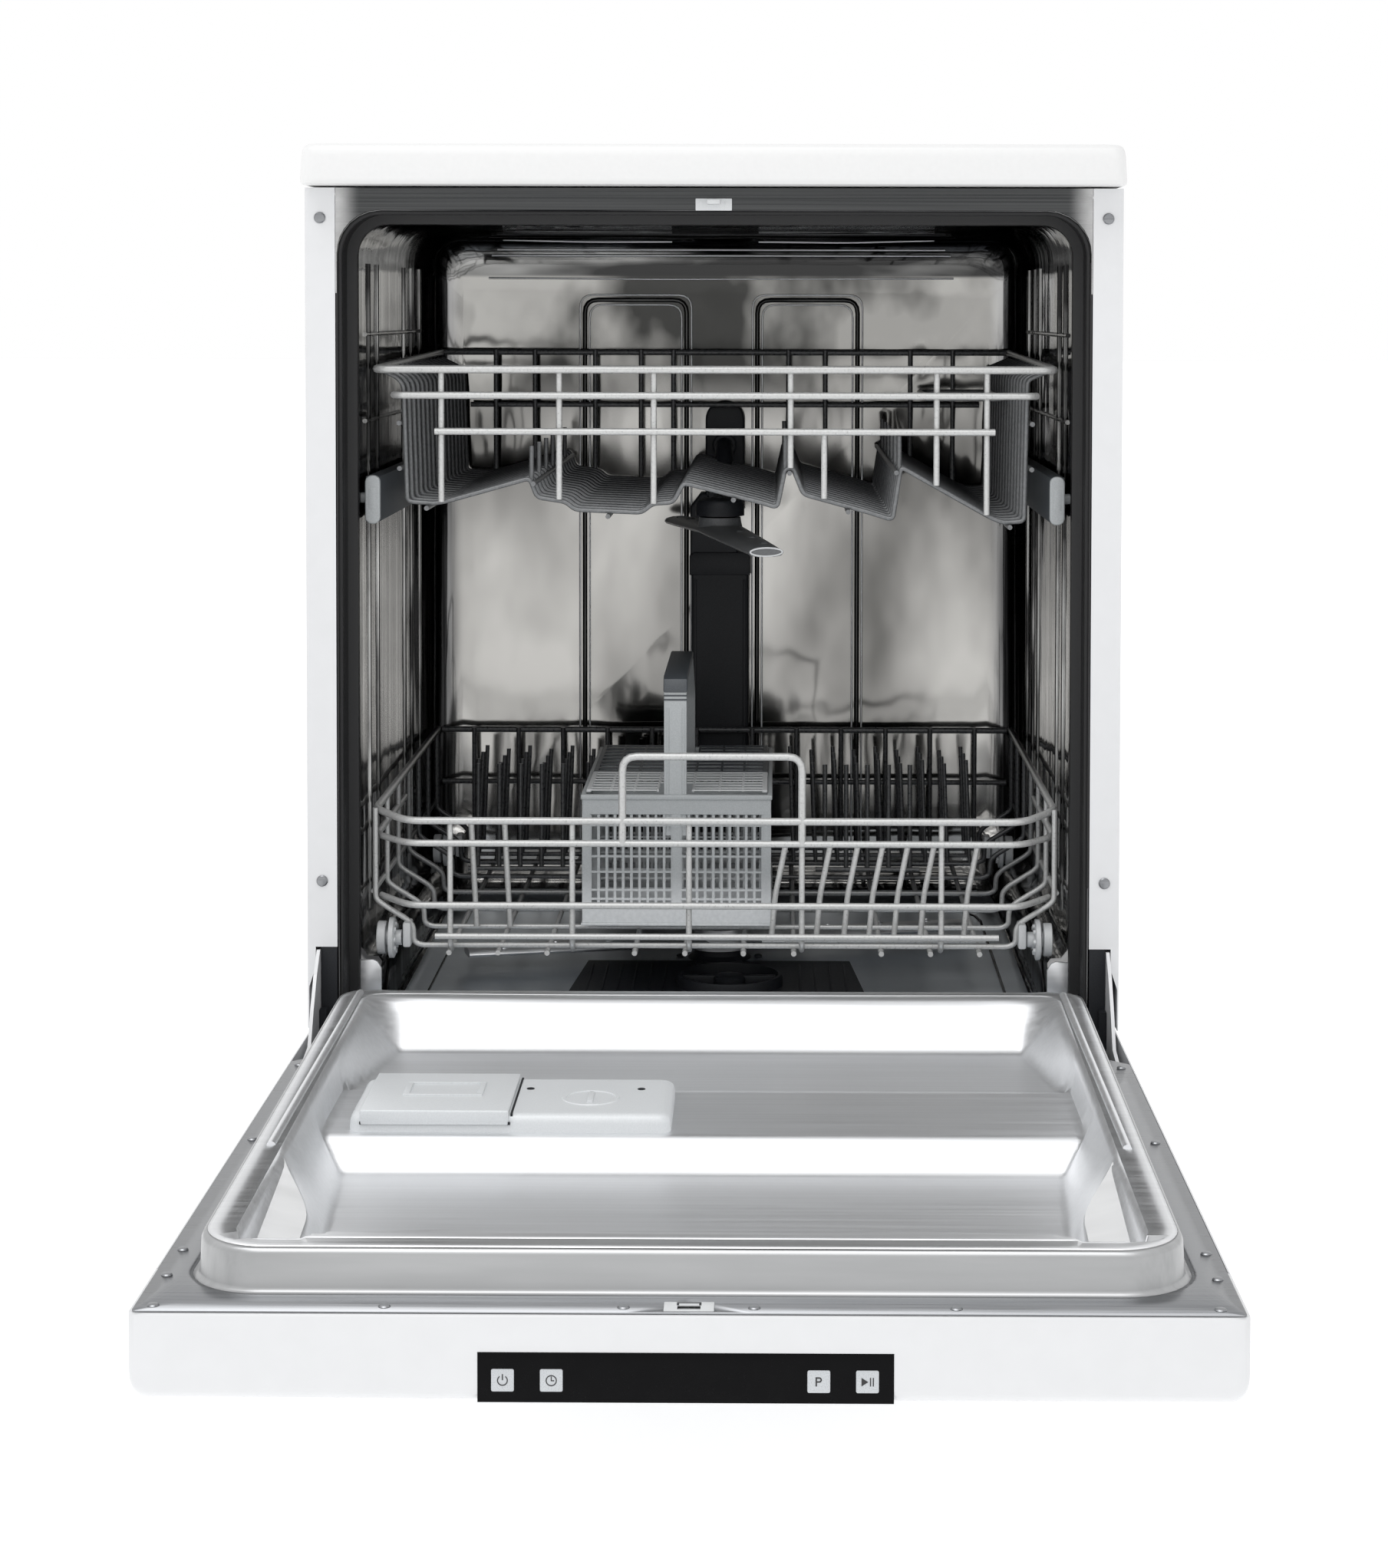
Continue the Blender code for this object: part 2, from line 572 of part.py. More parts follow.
def make_liner(joint):
    """The pressed inner door: a flat flange, a raised rim round it and a pocket inside the rim."""
    work = bmesh.new()
    rings = [liner_ring(297, DOOR_FOOT + 1.5, DOOR_END - 1, 2, 0.0),
             liner_ring(RIM_HALF, RIM_FAR - 3, RIM_NEAR + 3, 38, 0.0),
             liner_ring(RIM_HALF - 2, RIM_FAR, RIM_NEAR, 36, None),
             liner_ring(RIM_HALF - 18, RIM_FAR + 58, RIM_NEAR - 20, 24, None),
             liner_ring(RIM_HALF - 40, RIM_FAR + 82, RIM_NEAR - 46, 12, -3.0)]
    rows = [[work.verts.new(place) for place in ring] for ring in rings]
    for outer, inner in zip(rows, rows[1:]):
        for i in range(len(outer)):
            j = (i + 1) % len(outer)
            work.faces.new((outer[i], outer[j], inner[j], inner[i]))
    work.faces.new(rows[-1])
    bmesh.ops.recalc_face_normals(work, faces=work.faces)
    if sum(face.normal.z for face in work.faces) < 0:
        bmesh.ops.reverse_faces(work, faces=work.faces)
    mesh = bpy.data.meshes.new("liner")
    work.to_mesh(mesh)
    work.free()
    sheet = bpy.data.objects.new("liner", mesh)
    HELPERS.objects.link(sheet)
    solid = sheet.modifiers.new("Solidify", "SOLIDIFY")
    solid.thickness = SHEET * MM
    solid.offset = -1.0
    cutters = [door_block(-9.0, 9.0, 609.0, 617.0, -5.0, 5.0)]
    for sign in (-1, 1):
        low, high = sorted((sign * 281.5, sign * 305.0))
        cutters.append(door_block(low, high, DOOR_FOOT - 10, 86.0, -5.0, 5.0))
    node("door_liner", cut(bake(sheet), *cutters), SILVER, joint)


def make_door_shell(joint):
    top = -SHEET - GAP
    tray = cut(door_block(-299, 299, DOOR_FOOT, PANEL_END, -DOOR_THICK, top),
               door_block(-298, 298, DOOR_FOOT + 1, PANEL_END + 5, -DOOR_THICK + 1, 5.0))
    node("door_outer_panel", tray, WHITE, joint)
    console = cut(door_block(-299, 299, PANEL_END + 1, DOOR_END - 0.5, -DOOR_THICK, top),
                  door_block(-296.5, 296.5, PANEL_END - 5, DOOR_END - 3, -DOOR_THICK + 2.5, 5.0),
                  door_block(DISPLAY[0] - GAP, DISPLAY[1] + GAP, DOOR_END - 5, DOOR_END + 5,
                             -DOOR_THICK - 5, -20.7))
    node("control_console", console, WHITE, joint)
    holes = [door_block(x - BUTTON_SIDE / 2 - GAP, x + BUTTON_SIDE / 2 + GAP, DOOR_END - 10, DOOR_END + 5,
                        BUTTON_RISE - BUTTON_SIDE / 2 - GAP, BUTTON_RISE + BUTTON_SIDE / 2 + GAP)
             for x in BUTTONS.values()]
    panel = door_block(DISPLAY[0], DISPLAY[1], DOOR_END - 3, DOOR_END, -DOOR_THICK, -21.0)
    node("display_panel", cut(panel, *holes), GLOSS, joint)
    latch = cut(door_block(-14, 14, 602.0, 616.6, -26.0, top),
                door_block(-8, 8, 608.0, 615.5, -19.0, 5.0))
    node("door_latch", latch, WHITE, joint)


def make_button(label, x, joint):
    half = BUTTON_SIDE / 2
    cap = door_block(x - half, x + half, DOOR_END - 5, DOOR_TIP + HINGE_DEPTH,
                     BUTTON_RISE - half, BUTTON_RISE + half)
    node(f"button_{label}", cap, WHITE, joint)


def make_hinge_arm(side, sign, joint):
    profile = [(-13, 60), (0, 61), (16, 46), (32, 24), (46, 0), (80, -6), (80, -30), (0, -30), (-14, -10)]
    outline = [(HINGE_DEPTH - reach, HINGE_HEIGHT + rise) for reach, rise in profile]
    low, high = sorted((sign * ARM_FACE, sign * (ARM_FACE + 2.5)))
    hole = cylinder((sign * ARM_FACE, HINGE_DEPTH, HINGE_HEIGHT), 5.4, 20.0, "X", 24)
    node(f"hinge_arm_{side}", cut(side_plate(outline, low, high), hole), WHITE, joint)


def make_dispenser(joint, lid_joint, cap_joint):
    body = cut(door_block(-227, -20, 206.0, 300.0, -2.7, 20.0),
               door_block(-214, -128, 216.0, 288.0, 2.0, 25.0),
               on_door_cylinder(-74.0, 258.0, 12.0, 24.0, 15.6))
    node("detergent_dispenser", body, GREY, joint)
    lid = door_block(-219, -123, 207.0, 299.0, 20.3, 23.0)
    node("detergent_lid", lid, GREY, lid_joint)
    cap = fuse(on_door_cylinder(-74.0, 258.0, 12.3, 19.0, 15.0),
               door_block(-76, -72, 245.0, 271.0, 18.0, 21.5))
    node("rinse_aid_cap", cap, GREY, cap_joint)


def on_door_cylinder(x, reach, low, high, radius):
    return cylinder((x, HINGE_DEPTH - reach, HINGE_HEIGHT + (low + high) / 2), radius, high - low)


def make_fixed():
    make_cabinet()
    make_tub()
    make_seal()
    make_strike()
    make_sump()
    make_spray_supply()
    for side, sign in (("left", -1), ("right", 1)):
        make_hinge_bracket(side, sign)
        roller = joint_empty(f"roller_axis_{side}", at(sign * 258.0, ROLLER_DEPTH, RAIL_HEIGHT))
        make_roller(side, sign, roller)
    make_filter_cup(joint_empty("filter_axis", at(*SUMP_CENTRE, TUB_FLOOR)))
    arm = spray_arm(SPRAY_DEPTH, 203.0, 212.0, 15.8,
                    [(0, 216), (20, 216), (24, 208), (24, 199.3), (0, 199.3)])
    node("lower_spray_arm", arm, STEEL, joint_empty("lower_arm_axis", at(0, SPRAY_DEPTH, 203.0)))


def make_upper():
    slide = joint_empty("upper_rack_slide", at(0, RACK_FRONT, RAIL_HEIGHT))
    make_upper_rack(slide)
    for side, sign in (("left", -1), ("right", 1)):
        make_upper_rail(side, sign, slide)
    make_feed_pipe(slide)
    make_cup_shelf(joint_empty("cup_shelf_axis", at(229, 305.0, 655.0), slide))
    arm = spray_arm(SPRAY_DEPTH, 541.0, 178.0, 107.0, [(0, 555.2), (22, 555.2), (26, 540), (0, 540)])
    node("upper_spray_arm", arm, DARK, joint_empty("upper_arm_axis", at(0, SPRAY_DEPTH, 545.0), slide))


def make_lower():
    slide = joint_empty("lower_rack_slide", at(0, RACK_FRONT, WHEEL_HEIGHT))
    make_lower_rack(slide)
    for end, depth in WHEEL_DEPTHS.items():
        for side, sign in (("left", -1), ("right", 1)):
            axle = joint_empty(f"wheel_axis_{end}_{side}", at(sign * 250.0, depth, WHEEL_HEIGHT), slide)
            make_wheel(end, side, sign, axle)
    for side, first in (("left", -206.0), ("right", 88.0)):
        make_tine_row(side, first, joint_empty(f"tine_axis_{side}", at(first, 330.0, 252.0), slide))
    lift = joint_empty("basket_lift", at(-30.0, 224.0, BASKET[5]), slide)
    make_cutlery_basket(lift, joint_empty("lid_axis_front", at(-30.0, *LID_HINGE), lift),
                        joint_empty("lid_axis_back", at(-30.0, *LID_HINGE), lift))


def make_door():
    hinge = joint_empty("door_hinge", at(0, HINGE_DEPTH, HINGE_HEIGHT))
    make_door_shell(hinge)
    make_liner(hinge)
    for label, x in BUTTONS.items():
        make_button(label, x, joint_empty(f"button_axis_{label}", on_door(x, DOOR_END, BUTTON_RISE), hinge))
    for side, sign in (("left", -1), ("right", 1)):
        make_hinge_arm(side, sign, hinge)
    make_dispenser(hinge, joint_empty("dispenser_slide", on_door(-171, 253, 21), hinge),
                   joint_empty("cap_axis", on_door(-74, 258, 19), hinge))


clear_scene()
PARTS = new_collection("dishwasher")
HELPERS = new_collection("helpers")
make_fixed()
make_upper()
make_lower()
make_door()
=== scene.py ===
from math import copysign, cos, pi, radians, sin, sqrt

import bmesh
import bpy
from mathutils import Matrix, Vector


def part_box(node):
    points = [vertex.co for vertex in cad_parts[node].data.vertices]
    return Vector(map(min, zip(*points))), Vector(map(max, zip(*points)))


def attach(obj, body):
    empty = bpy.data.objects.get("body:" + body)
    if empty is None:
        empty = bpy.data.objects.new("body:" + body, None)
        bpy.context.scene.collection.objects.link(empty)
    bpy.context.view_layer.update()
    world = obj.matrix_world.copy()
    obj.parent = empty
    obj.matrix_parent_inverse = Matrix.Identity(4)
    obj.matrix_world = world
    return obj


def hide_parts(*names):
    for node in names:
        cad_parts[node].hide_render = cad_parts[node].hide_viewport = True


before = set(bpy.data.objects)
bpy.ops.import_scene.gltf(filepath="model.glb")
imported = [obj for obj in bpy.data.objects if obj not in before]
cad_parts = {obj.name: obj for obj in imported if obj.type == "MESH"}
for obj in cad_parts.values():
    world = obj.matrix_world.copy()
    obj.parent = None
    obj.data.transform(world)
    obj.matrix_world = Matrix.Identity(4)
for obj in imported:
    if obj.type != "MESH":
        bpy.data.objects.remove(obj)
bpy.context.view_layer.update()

MM = 0.001
# The y of the cabinet posts' front faces, and the door's hinge axis measured from them and from the floor
POST_Y = 36.2
HINGE_V, HINGE_Z = -2, 192


def P(x, v, z):
    """A place in metres from x, depth behind the cabinet's posts and height, in millimetres."""
    return Vector((x, v + POST_Y, z)) * MM


def D(x, reach, rise):
    """A point on the open door: reach from the hinge axis, rise above the liner's flange."""
    return P(x, HINGE_V - reach, HINGE_Z + rise)


# Materials

def set_inputs(node, values):
    for key, value in values.items():
        node.inputs[key.replace("_", " ")].default_value = value


def add_node(tree, kind, feed=None, into=None, **values):
    """A shader node with some inputs set, and one of them fed by another node's output."""
    made = tree.nodes.new("ShaderNode" + kind)
    set_inputs(made, values)
    if feed:
        tree.links.new(feed, made.inputs[into])
    return made


def noise_share(tree, grain, contrast):
    """A noise over the object's own coordinates, and the same stretched to run from 0 to 1."""
    place = add_node(tree, "TexCoord").outputs["Object"]
    grain = grain if isinstance(grain, tuple) else (grain,) * 3
    stretch = add_node(tree, "Mapping", place, "Vector", Scale=grain)
    noise = add_node(tree, "TexNoise", stretch.outputs["Vector"], "Vector", Scale=1, Detail=4).outputs["Fac"]
    share = add_node(tree, "MapRange", noise, "Value", From_Min=contrast[0], From_Max=contrast[1])
    return noise, share.outputs["Result"]


def blend(tree, share, first, second):
    """Mixes two colours, each a tuple or another node's output."""
    mix = tree.nodes.new("ShaderNodeMix")
    mix.data_type = "RGBA"
    tree.links.new(share, mix.inputs[0])
    for socket, colour in ((mix.inputs[6], first), (mix.inputs[7], second)):
        if isinstance(colour, tuple):
            socket.default_value = (*colour, 1)
        else:
            tree.links.new(colour, socket)
    return mix.outputs[2]


def surface(name, dark, light, rough, metallic=0, grain=300, bump=0.15, depth=0.00015, contrast=(0.3, 0.7),
        **fixed):
    """A shader whose colour, roughness and fine relief vary a little over the surface."""
    made = bpy.data.materials.new(name)
    made.use_nodes = True
    tree = made.node_tree
    shader = tree.nodes["Principled BSDF"]
    set_inputs(shader, {"Metallic": metallic, **fixed})
    height, share = noise_share(tree, grain, contrast)
    spread = add_node(tree, "MapRange", share, "Value", To_Min=rough[0], To_Max=rough[1])
    relief = add_node(tree, "Bump", height, "Height", Strength=bump, Distance=depth)
    for output, socket in ((blend(tree, share, dark, light), "Base Color"),
            (spread.outputs["Result"], "Roughness"), (relief.outputs["Normal"], "Normal")):
        tree.links.new(output, shader.inputs[socket])
    return made


def steel(name, dark, light, rough, grain, bump=0.04, depth=0.0001, metallic=1, **fixed):
    return surface(name, dark, light, rough, metallic, grain, bump, depth, **fixed)


def plastic(name, dark, light, rough, bump=0.2, depth=0.00008, **fixed):
    return surface(name, dark, light, rough, 0, 1200, bump, depth, **fixed)


def paint_shading_along(look, axis, low, high, dark, light, grain, contrast=(0.3, 0.7)):
    """Paints shade or light by place: brings in a second pair of colours as the distance from the origin
    along an axis goes low to high.
    """
    tree = look.node_tree
    colour = tree.nodes["Principled BSDF"].inputs["Base Color"]
    place = add_node(tree, "TexCoord").outputs["Object"]
    split = add_node(tree, "SeparateXYZ", place, "Vector")
    size = add_node(tree, "Math", split.outputs[axis], 0)
    size.operation = "ABSOLUTE"
    share = add_node(tree, "MapRange", size.outputs[0], "Value", From_Min=low * MM, From_Max=high * MM)
    share.interpolation_type = "SMOOTHSTEP"
    streaks = blend(tree, noise_share(tree, grain, contrast)[1], dark, light)
    tree.links.new(blend(tree, share.outputs["Result"], colour.links[0].from_socket, streaks), colour)


ENAMEL = surface("white_enamel", (0.665, 0.672, 0.684), (0.68, 0.687, 0.7), (0.28, 0.32), grain=60,
    bump=0.02, Coat_Weight=0.2, Coat_Roughness=0.12)
LAMINATE = surface("white_laminate", (0.705, 0.707, 0.707), (0.72, 0.722, 0.722), (0.36, 0.42),
    grain=300, bump=0.05)
TUB_STEEL = steel("polished_steel", (0.11, 0.108, 0.103), (0.44, 0.432, 0.415), (0.04, 0.12), (5, 5, 2.2),
    0.7, 0.006, contrast=(0.38, 0.58))
# Painted shade with painted reflection blotches: from 610 to 680 mm up, the tub's steel turns darker.
paint_shading_along(TUB_STEEL, "Z", 610, 680, (0.05, 0.05, 0.048), (0.34, 0.335, 0.32), (8, 5, 5), (0.44, 0.58))
# Painted shade with painted reflection streaks: beyond 236 to 254 mm to either side, the tub's steel turns
# dark with thin light upright streaks.
paint_shading_along(TUB_STEEL, "X", 236, 254, (0.05, 0.05, 0.052), (0.48, 0.48, 0.48), (1, 85, 1.2), (0.45, 0.68))
# Painted shade with painted highlights: from 753 mm up, a darker band with long light streaks across the top
# of the back wall.
paint_shading_along(TUB_STEEL, "Z", 753, 757, (0.04, 0.04, 0.04), (0.42, 0.42, 0.41), (3, 60, 14), (0.46, 0.7))
# Painted shade with painted highlights: from 776 to 784 mm up, the ceiling turns near-black with faint light
# streaks.
paint_shading_along(TUB_STEEL, "Z", 776, 784, (0.012, 0.012, 0.013), (0.2, 0.2, 0.2), (4, 60, 3), (0.45, 0.75))
FLOOR_STEEL = steel("tub_floor_steel", (0.48, 0.52, 0.57), (0.72, 0.77, 0.82), (0.28, 0.4), (4, 7, 4), 0.2,
    0.002)
# Painted shade with painted streak highlights: the ribs and the floor's basin bead are near-black steel with
# light streaks.
RIB_SHADE_STEEL = steel("tub_rib_painted_shade_steel", (0.03, 0.03, 0.03), (0.5, 0.5, 0.49), (0.12, 0.25), (4, 40, 6), 0.3,
    0.001, contrast=(0.42, 0.66))
# Painted shade: a near-black steel for the back wall's pressed beads.
BEAD_SHADE_STEEL = steel("tub_bead_painted_shade_steel", (0.02, 0.02, 0.02), (0.09, 0.09, 0.088), (0.15, 0.25), (10, 10, 8), 0.3,
    0.001)
SATIN_STEEL = steel("satin_steel", (0.74, 0.75, 0.765), (0.8, 0.81, 0.825), (0.38, 0.46), (6, 300, 300),
    metallic=0.86)
# Painted highlight: a brighter, less metallic copy of the pocket's steel for its near corner facets.
LIT_FACET_STEEL = steel("facet_steel_painted_highlight", (0.8, 0.805, 0.81), (0.86, 0.865, 0.87), (0.4, 0.5), (12, 60, 12),
    metallic=0.3)
WALL_STEEL = steel("satin_steel_wall", (0.37, 0.375, 0.38), (0.45, 0.455, 0.46), (0.3, 0.4), (6, 300, 60))
RIM_STEEL = steel("satin_steel_rim", (0.7, 0.708, 0.72), (0.78, 0.788, 0.8), (0.34, 0.44), (6, 300, 60))
# Painted shade: a darker pair of colours for the rim's near end, set by its distance along y.
paint_shading_along(RIM_STEEL, "Y", -400, -500, (0.27, 0.275, 0.285), (0.33, 0.335, 0.345), (40, 6, 40))
FLANGE_STEEL = steel("brushed_flange", (0.22, 0.226, 0.236), (0.29, 0.296, 0.307), (0.26, 0.38),
    (14, 500, 700), 0.06)
# Painted reflection: the lintel's steel is near-black across its middle, and lighter at its ends as painted
# highlights.
LINTEL_STEEL = steel("brushed_lintel", (0.045, 0.047, 0.048), (0.09, 0.092, 0.093), (0.24, 0.36),
    (3, 500, 700), 0.08)
paint_shading_along(LINTEL_STEEL, "X", 258, 277, (0.3, 0.3, 0.3), (0.55, 0.55, 0.55), (25, 300, 30))
COATED_WIRE = surface("coated_wire", (0.5, 0.505, 0.5), (0.6, 0.605, 0.6), (0.26, 0.38), metallic=0.2,
    grain=500, bump=0.12)
# Painted shade: the coated wire turns dark towards the back of the racks.
paint_shading_along(COATED_WIRE, "Y", 150, 400, (0.05, 0.052, 0.055), (0.1, 0.102, 0.105), 500)
# Painted shade: a darker copy of the coated wire for the upper rack's mat, rods and tines, darker still
# towards the back.
SHADED_MAT_WIRE = surface("coated_mat_wire_painted_shade", (0.13, 0.135, 0.14), (0.19, 0.195, 0.2), (0.3, 0.42), metallic=0.2,
    grain=500, bump=0.12)
paint_shading_along(SHADED_MAT_WIRE, "Y", 120, 420, (0.045, 0.047, 0.05), (0.08, 0.082, 0.085), 500)
SILVER_PLASTIC = surface("silver_plastic", (0.64, 0.66, 0.675), (0.69, 0.71, 0.725), (0.34, 0.44),
    metallic=0.05, grain=900, bump=0.1, depth=0.00006)
GREY_PLASTIC = plastic("grey_plastic", (0.35, 0.37, 0.38), (0.42, 0.44, 0.45), (0.38, 0.5))
# Painted light: the grey plastic turns pale from 296 mm down to 262 mm, at the basket's foot.
paint_shading_along(GREY_PLASTIC, "Z", 296, 262, (0.68, 0.7, 0.715), (0.78, 0.8, 0.815), 300)
PALE_PLASTIC = plastic("pale_plastic", (0.6, 0.615, 0.625), (0.66, 0.675, 0.685), (0.34, 0.44))
DARK_PLASTIC = plastic("dark_plastic", (0.011, 0.012, 0.015), (0.02, 0.022, 0.026), (0.4, 0.52), 0.2,
    0.00006, Specular_IOR_Level=0.25)
SLATE_PLASTIC = plastic("slate_plastic", (0.045, 0.052, 0.06), (0.07, 0.078, 0.087), (0.38, 0.5), 0.25)
ARM_PLASTIC = plastic("spray_arm_plastic", (0.09, 0.095, 0.1), (0.14, 0.145, 0.15), (0.32, 0.45), 0.25)
RUBBER = surface("black_rubber", (0.006, 0.006, 0.007), (0.014, 0.014, 0.015), (0.45, 0.6),
    grain=900, bump=0.3, depth=0.0001)
GLOSS_BLACK = surface("gloss_black", (0.0015, 0.0015, 0.002), (0.0025, 0.0025, 0.003), (0.1, 0.16),
    grain=60, bump=0.02, depth=0.0001, Specular_IOR_Level=0.08)
CAST_IRON = surface("cast_block", (0.07, 0.07, 0.07), (0.14, 0.14, 0.14), (0.7, 0.85), metallic=0.6,
    grain=250, bump=0.8, depth=0.001)
BUTTON_WHITE = surface("button_white", (0.47, 0.49, 0.51), (0.51, 0.53, 0.55), (0.25, 0.32), metallic=0.1,
    grain=1500, bump=0.05)
ICON_INK = surface("icon_ink", (0.012, 0.012, 0.014), (0.02, 0.02, 0.022), (0.45, 0.55),
    grain=1500, bump=0.05)
STUDIO = surface("studio_floor", (0.84, 0.84, 0.84), (0.86, 0.86, 0.86), (0.6, 0.7), grain=4, bump=0,
    Emission_Color=(1, 1, 1, 1), Emission_Strength=0.42)


# Building blocks

def outward(bm, faces=None):
    bmesh.ops.recalc_face_normals(bm, faces=faces or bm.faces)


def skin(bm, rows, closed=True, flip=False):
    """Faces between neighbouring rows of vertices. A closed skin joins each row's end to its start."""
    faces = []
    for first, second in zip(rows, rows[1:]):
        for i in range(len(first) if closed else len(first) - 1):
            j = (i + 1) % len(first)
            corners = (first[i], first[j], second[j], second[i])
            faces.append(bm.faces.new(corners[::-1] if flip else corners))
    return faces


def tube(bm, rows, capped=True):
    skin(bm, rows)
    if capped:
        bm.faces.new(rows[0])
        bm.faces.new(rows[-1][::-1])
    outward(bm)


def add_object(name, data):
    item = bpy.data.objects.new(name, data)
    bpy.context.scene.collection.objects.link(item)
    return item


def add_mesh(name, bm):
    mesh = bpy.data.meshes.new(name)
    bm.to_mesh(mesh)
    bm.free()
    return add_object(name, mesh)


def add_piece(item, body, slot, look, replaces):
    """Hangs a piece on its body. Unless told otherwise, it replaces the CAD node with its slot's name."""
    item.data.materials.clear()
    item.data.materials.append(look)
    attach(item, body)
    for node in [slot] if replaces is None else replaces:
        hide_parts(node)
    return item


def solid(name, bm, body, slot, look, replaces=None, angle=35):
    item = add_mesh(name, bm)
    item.data.shade_smooth()
    item.data.set_sharp_from_angle(angle=radians(angle))
    return add_piece(item, body, slot, look, replaces)


def soften(bm, edges, bevel, segments):
    """Bevels edges, each one once and always in the same order."""
    if bevel:
        bmesh.ops.bevel(bm, geom=list(dict.fromkeys(edges)), offset=bevel * MM, segments=segments,
            profile=0.5, affect="EDGES")


def box(bm, x, v, z, bevel=0.8, segments=2):
    low = P(min(x), min(v), min(z))
    high = P(max(x), max(v), max(z))
    made = bmesh.ops.create_cube(bm, size=1, matrix=Matrix.LocRotScale((low + high) / 2, None, high - low))
    soften(bm, (edge for vert in made["verts"] for edge in vert.link_edges), bevel, segments)


def door_box(bm, x, reach, rise, bevel=0.8, segments=2):
    box(bm, x, [HINGE_V - r for r in reach], [HINGE_Z + t for t in rise], bevel, segments)


def prism(bm, outline, along, low, high, bevel=0.8, segments=2):
    """A flat outline of two coordinates, pushed along the third axis."""
    place = {"X": lambda a, b, c: P(c, a, b), "Y": lambda a, b, c: P(a, c, b), "Z": P}[along]
    sides = [[bm.verts.new(place(a, b, c)) for a, b in outline] for c in (low, high)]
    ends = [bm.faces.new(sides[0]), bm.faces.new(sides[1][::-1])]
    outward(bm, ends + skin(bm, sides))
    soften(bm, (edge for face in ends for edge in face.edges), bevel, segments)


def around(count):
    return [2 * pi * i / count for i in range(count)]


def lathe(bm, centre, profile, sides, axis="Z"):
    """A turned solid: (radius, distance along the axis) pairs, from one end to the other."""
    turn = {"Z": Matrix.Identity(3), "X": Matrix.Rotation(pi / 2, 3, "Y"),
        "Y": Matrix.Rotation(-pi / 2, 3, "X")}[axis]
    rings = []
    for radius, along in profile:
        places = [Vector((radius * cos(angle), radius * sin(angle), along)) for angle in around(sides)]
        rings.append([bm.verts.new(P(*centre) + turn @ place * MM) for place in places])
    outward(bm, skin(bm, rings) + [bm.faces.new(rings[0][::-1]), bm.faces.new(rings[-1])])


def bend(points, radius=6, steps=4):
    """A path with its corners rounded."""
    points = [Vector(point) for point in points]
    path = [points[0]]
    for before, corner, after in zip(points, points[1:], points[2:]):
        back, ahead = before - corner, after - corner
        reach = min(radius, back.length / 2.02, ahead.length / 2.02)
        first, last = corner + back.normalized() * reach, corner + ahead.normalized() * reach
        for i in range(steps + 1):
            t = i / steps
            path.append(first * (1 - t) ** 2 + corner * 2 * t * (1 - t) + last * t * t)
    path.append(points[-1])
    return path


def wires(name, paths, radius, body, slot, look, replaces=None, corner=6, closed=False):
    """Bent wires in one curve. A path is a list of (x, v, z) points, or a pair of that and its radius."""
    curve = bpy.data.curves.new(name, "CURVE")
    curve.dimensions = "3D"
    curve.bevel_depth = radius * MM
    curve.bevel_resolution = 2
    curve.use_fill_caps = True
    for path in paths:
        path, own = path if isinstance(path, tuple) else (path, radius)
        bent = bend(path, corner)
        spline = curve.splines.new("POLY")
        spline.points.add(len(bent) - 1)
        for point, place in zip(spline.points, bent):
            point.co = (*P(*place), 1)
            point.radius = own / radius
        spline.use_cyclic_u = closed
        spline.use_smooth = True
    return add_piece(add_object(name, curve), body, slot, look, replaces)


def quarter(cx, cz, radius, start, steps=6):
    turns = [radians(start + 90 * i / steps) for i in range(steps + 1)]
    return [(cx + radius * cos(turn), cz + radius * sin(turn)) for turn in turns]


def rounded(half, low, high, radius, steps=6):
    """A rectangle centred on x = 0, with round corners."""
    corners = ((1, low + radius, 270), (1, high - radius, 0), (-1, high - radius, 90),
        (-1, low + radius, 180))
    return [point for side, z, start in corners
        for point in quarter(side * (half - radius), z, radius, start, steps)]


def loft(bm, rings, close_end=False):
    rows = [[bm.verts.new(place) for place in ring] for ring in rings]
    skin(bm, rows)
    if close_end:
        bm.faces.new(rows[-1])


def screw_head(bm, place, radius, axis, lift):
    """A low pan head. A negative lift turns it the other way."""
    lathe(bm, place, [(radius, -lift * 0.2), (radius, 0.25 * lift), (radius * 0.8, 0.8 * lift),
        (radius * 0.3, lift)], 20, axis)


# Cabinet

def make_worktop():
    bm = bmesh.new()
    low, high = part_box("worktop")
    x0, x1 = low.x / MM, high.x / MM
    v0, v1 = low.y / MM - POST_Y, high.y / MM - POST_Y
    rings = []
    for z, inset in ((815.4, 1.2), (816.2, 0.2), (820, 0), (836, 0.9), (840.5, 1.6), (843.2, 3),
            (844.6, 5.2), (845, 8.5)):
        outline = rounded((x1 - x0) / 2 - inset, v0 + inset, v1 - inset, 9, 6)
        rings.append([P(x, v, z) for x, v in outline])
    loft(bm, rings, close_end=True)
    bm.faces.new([bm.verts.new(place) for place in reversed(rings[0])])
    bmesh.ops.remove_doubles(bm, verts=bm.verts, dist=1e-6)
    solid("worktop_slab", bm, "cabinet", "worktop", LAMINATE, angle=50)


PLAIN_NODES = (
    (ENAMEL, "side_panel_left side_panel_right kick_plate door_outer_panel hinge_arm_left hinge_arm_right"),
    (DARK_PLASTIC, "hinge_bracket_left hinge_bracket_right base_tray circulation_pump sump"),
    (CAST_IRON, "counterweight"), (FLANGE_STEEL, "back_panel"))


